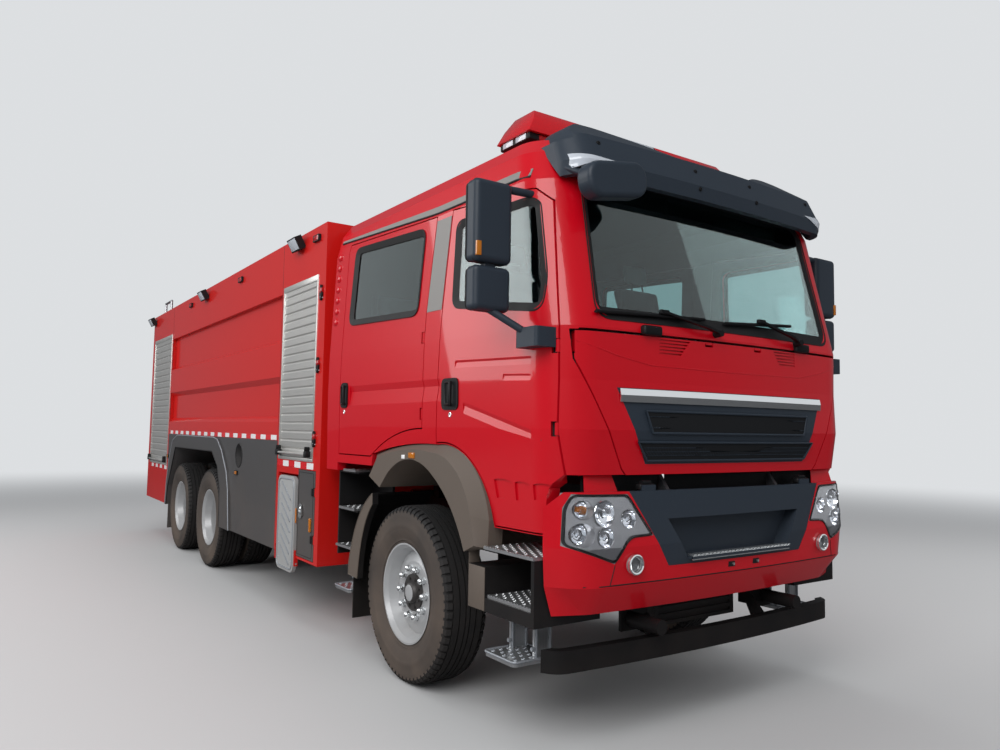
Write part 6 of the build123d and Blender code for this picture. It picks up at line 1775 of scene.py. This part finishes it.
def build_floor(shade):
    """Pale floor: darker in reflections, fading into the background, and clear from below."""
    bm = bmesh.new()
    bmesh.ops.create_grid(bm, x_segments=1, y_segments=1, size=STAGE_FLOOR_HALF)
    mesh = bpy.data.meshes.new("stage_floor")
    bm.to_mesh(mesh)
    bm.free()
    tree, inputs = finish_shader("stage floor", (shade,) * 3, 0.7)
    mesh.materials.append(bpy.data.materials["stage floor"])
    stage_object("stage_floor", mesh)
    rays = put(tree, "LightPath", {}).outputs
    dim = put(tree, "Mix", {"Factor": rays["Is Glossy Ray"], "A": (shade, shade, shade, 1.0),
                            "B": (0.09, 0.09, 0.095, 1.0)}, data_type="RGBA")
    tree.links.new(dim.outputs["Result"], inputs["Base Color"])
    reach = put(tree, "VectorMath", {0: object_place(tree)}, operation="LENGTH").outputs["Value"]
    fade = put(tree, "MapRange", {"Value": reach, "From Min": FADE_START, "From Max": FADE_END},
               interpolation_type="SMOOTHSTEP").outputs["Result"]
    seen_far = worked(tree, "MULTIPLY", fade, rays["Is Camera Ray"])
    haze = put(tree, "Emission", {"Color": PALE, "Strength": PALE_STRENGTH})
    output = next(node for node in tree.nodes if node.type == "OUTPUT_MATERIAL")
    lit = output.inputs["Surface"].links[0].from_socket
    blend = put(tree, "MixShader", {0: seen_far, 1: lit, 2: haze.outputs[0]})
    under = put(tree, "NewGeometry", {}).outputs["Backfacing"]
    clear = put(tree, "BsdfTransparent", {})
    below = put(tree, "MixShader", {0: under, 1: blend.outputs[0], 2: clear.outputs[0]})
    tree.links.new(below.outputs[0], output.inputs["Surface"])


def build_world():
    """Soft daylight, a pale backdrop, and a duller one in reflections."""
    world = bpy.data.worlds.new("stage_world")
    bpy.context.scene.world = world
    world.use_nodes = True
    tree = world.node_tree
    background = tree.nodes["Background"]
    background.inputs["Color"].default_value = (0.86, 0.89, 0.93, 1.0)
    background.inputs["Strength"].default_value = 0.5
    seen = put(tree, "Background", {"Color": PALE, "Strength": PALE_STRENGTH})
    mirrored = put(tree, "Background", {"Color": (0.55, 0.58, 0.62, 1.0), "Strength": 0.24})
    rays = put(tree, "LightPath", {}).outputs
    lit = put(tree, "MixShader", {0: rays["Is Glossy Ray"], 1: background.outputs[0], 2: mirrored.outputs[0]})
    bare = worked(tree, "MAXIMUM", rays["Is Camera Ray"], rays["Is Singular Ray"])
    pick = put(tree, "MixShader", {0: bare, 1: lit.outputs[0], 2: seen.outputs[0]})
    tree.links.new(pick.outputs[0], tree.nodes["World Output"].inputs["Surface"])


def build_stage():
    """Pale floor, soft studio light and the photograph's camera."""
    stage = bpy.context.scene.truck_stage
    build_floor(stage.floor_shade)
    build_world()
    for name, spot, size, share, glossy in (("stage_key", (-7.5, -8.0, 7.5), 7.0, 1.0, True),
                                            ("stage_fill", (8.0, -7.0, 5.0), 6.0, 0.35, False),
                                            ("stage_side", (-9.0, 4.0, 6.0), 7.0, 0.6, True),
                                            ("stage_top", (0.0, 1.0, 10.0), 9.0, 0.6, False)):
        light = bpy.data.lights.new(name, "AREA")
        light.shape = "SQUARE"
        light.size = size
        light.energy = stage.key_power * share
        holder = stage_object(name, light)
        holder.location = spot
        aim = Vector((0, 0, 1.4)) - Vector(spot)
        holder.rotation_euler = aim.to_track_quat("-Z", "Y").to_euler()
        holder.visible_glossy = glossy
    camera = bpy.data.cameras.new("photo_camera")
    camera.lens = stage.lens
    camera.sensor_width = 36.0
    camera.clip_end = 200.0
    holder = stage_object("photo_camera", camera)
    place = Matrix.Translation(CAMERA_SPOT)
    for degrees, axis in CAMERA_TURNS:
        place = place @ Matrix.Rotation(math.radians(degrees), 4, axis)
    holder.matrix_world = place
    bpy.context.scene.camera = holder
    bpy.context.scene.view_settings.view_transform = "Standard"


STEPS = (
    ("nodes", "Paint Nodes", "Give the frame's nodes their finishes", paint_nodes),
    ("wheels", "Build Wheels", "Tyres, nuts and hub caps", build_wheels),
    ("windows", "Build Window Trim", "Window seals and the windscreen's border", build_windows),
    ("doors", "Build Door Trim", "Handles and locks of the doors", build_doors),
    ("front", "Build Front Trim", "Chrome, grille meshes, wipers and fog lamps", build_front),
    ("lamps", "Build Lamps", "Headlamp reflectors, covers and the small lamps", build_lamps),
    ("light_bar", "Build Light Bar", "Warning light bar on the cab roof", build_light_bar),
    ("mirrors", "Build Mirrors", "Mirror glasses, seams and indicators", build_mirrors),
    ("steps", "Build Steps", "Anti-slip rings, lips and folding board ribs", build_steps),
    ("body", "Build Body Trim", "Strips, shutter rails, latches and skirt rings", build_body),
    ("seats", "Build Seats", "Padded seats, bases and belts", build_seats),
    ("cabin", "Build Cabin", "Steering wheel grip, switches and door cards", build_cabin),
    ("roof_and_rear", "Build Roof And Rear", "Monitor, hatch, ladder and rear fittings", build_roof_and_rear),
    ("underside", "Build Underside", "Spring bolts, straps and brake chambers", build_underside),
    ("stage", "Build Stage", "Floor, light and camera", build_stage),
)


def group_operator(key, label, description, builder):
    """Operator that makes one group of pieces."""
    def execute(self, context):
        if not FINISHES:
            make_finishes()
        builder()
        return {"FINISHED"}

    return type(f"TRUCK_OT_{key}", (bpy.types.Operator,), {
        "bl_idname": f"truck.build_{key}", "bl_label": label, "__doc__": description, "execute": execute})


OPERATORS = tuple(group_operator(*step) for step in STEPS)


class TRUCK_PT_panel(bpy.types.Panel):
    """Sizes, colours and buttons of the truck."""
    bl_label = "Water Tanker Fire Truck"
    bl_idname = "TRUCK_PT_panel"
    bl_space_type = "VIEW_3D"
    bl_region_type = "UI"
    bl_category = "Truck"

    def draw(self, context):
        for settings in (context.scene.truck_paint, context.scene.truck_sizes, context.scene.truck_stage):
            box = self.layout.box()
            for name in settings.__annotations__:
                box.prop(settings, name)
        for operator in OPERATORS:
            self.layout.operator(operator.bl_idname)


CLASSES = (TruckPaint, TruckSizes, TruckStage) + OPERATORS + (TRUCK_PT_panel,)


def register():
    """Add the truck's settings, operators and panel to Blender."""
    for entry in CLASSES:
        bpy.utils.register_class(entry)
    bpy.types.Scene.truck_paint = bpy.props.PointerProperty(type=TruckPaint)
    bpy.types.Scene.truck_sizes = bpy.props.PointerProperty(type=TruckSizes)
    bpy.types.Scene.truck_stage = bpy.props.PointerProperty(type=TruckStage)


def unregister():
    """Take them away again."""
    del bpy.types.Scene.truck_stage
    del bpy.types.Scene.truck_sizes
    del bpy.types.Scene.truck_paint
    for entry in reversed(CLASSES):
        bpy.utils.unregister_class(entry)


def main():
    """Register and build every group in order."""
    register()
    for key, _, _, _ in STEPS:
        getattr(bpy.ops.truck, f"build_{key}")()


if __name__ == "__main__":
    main()
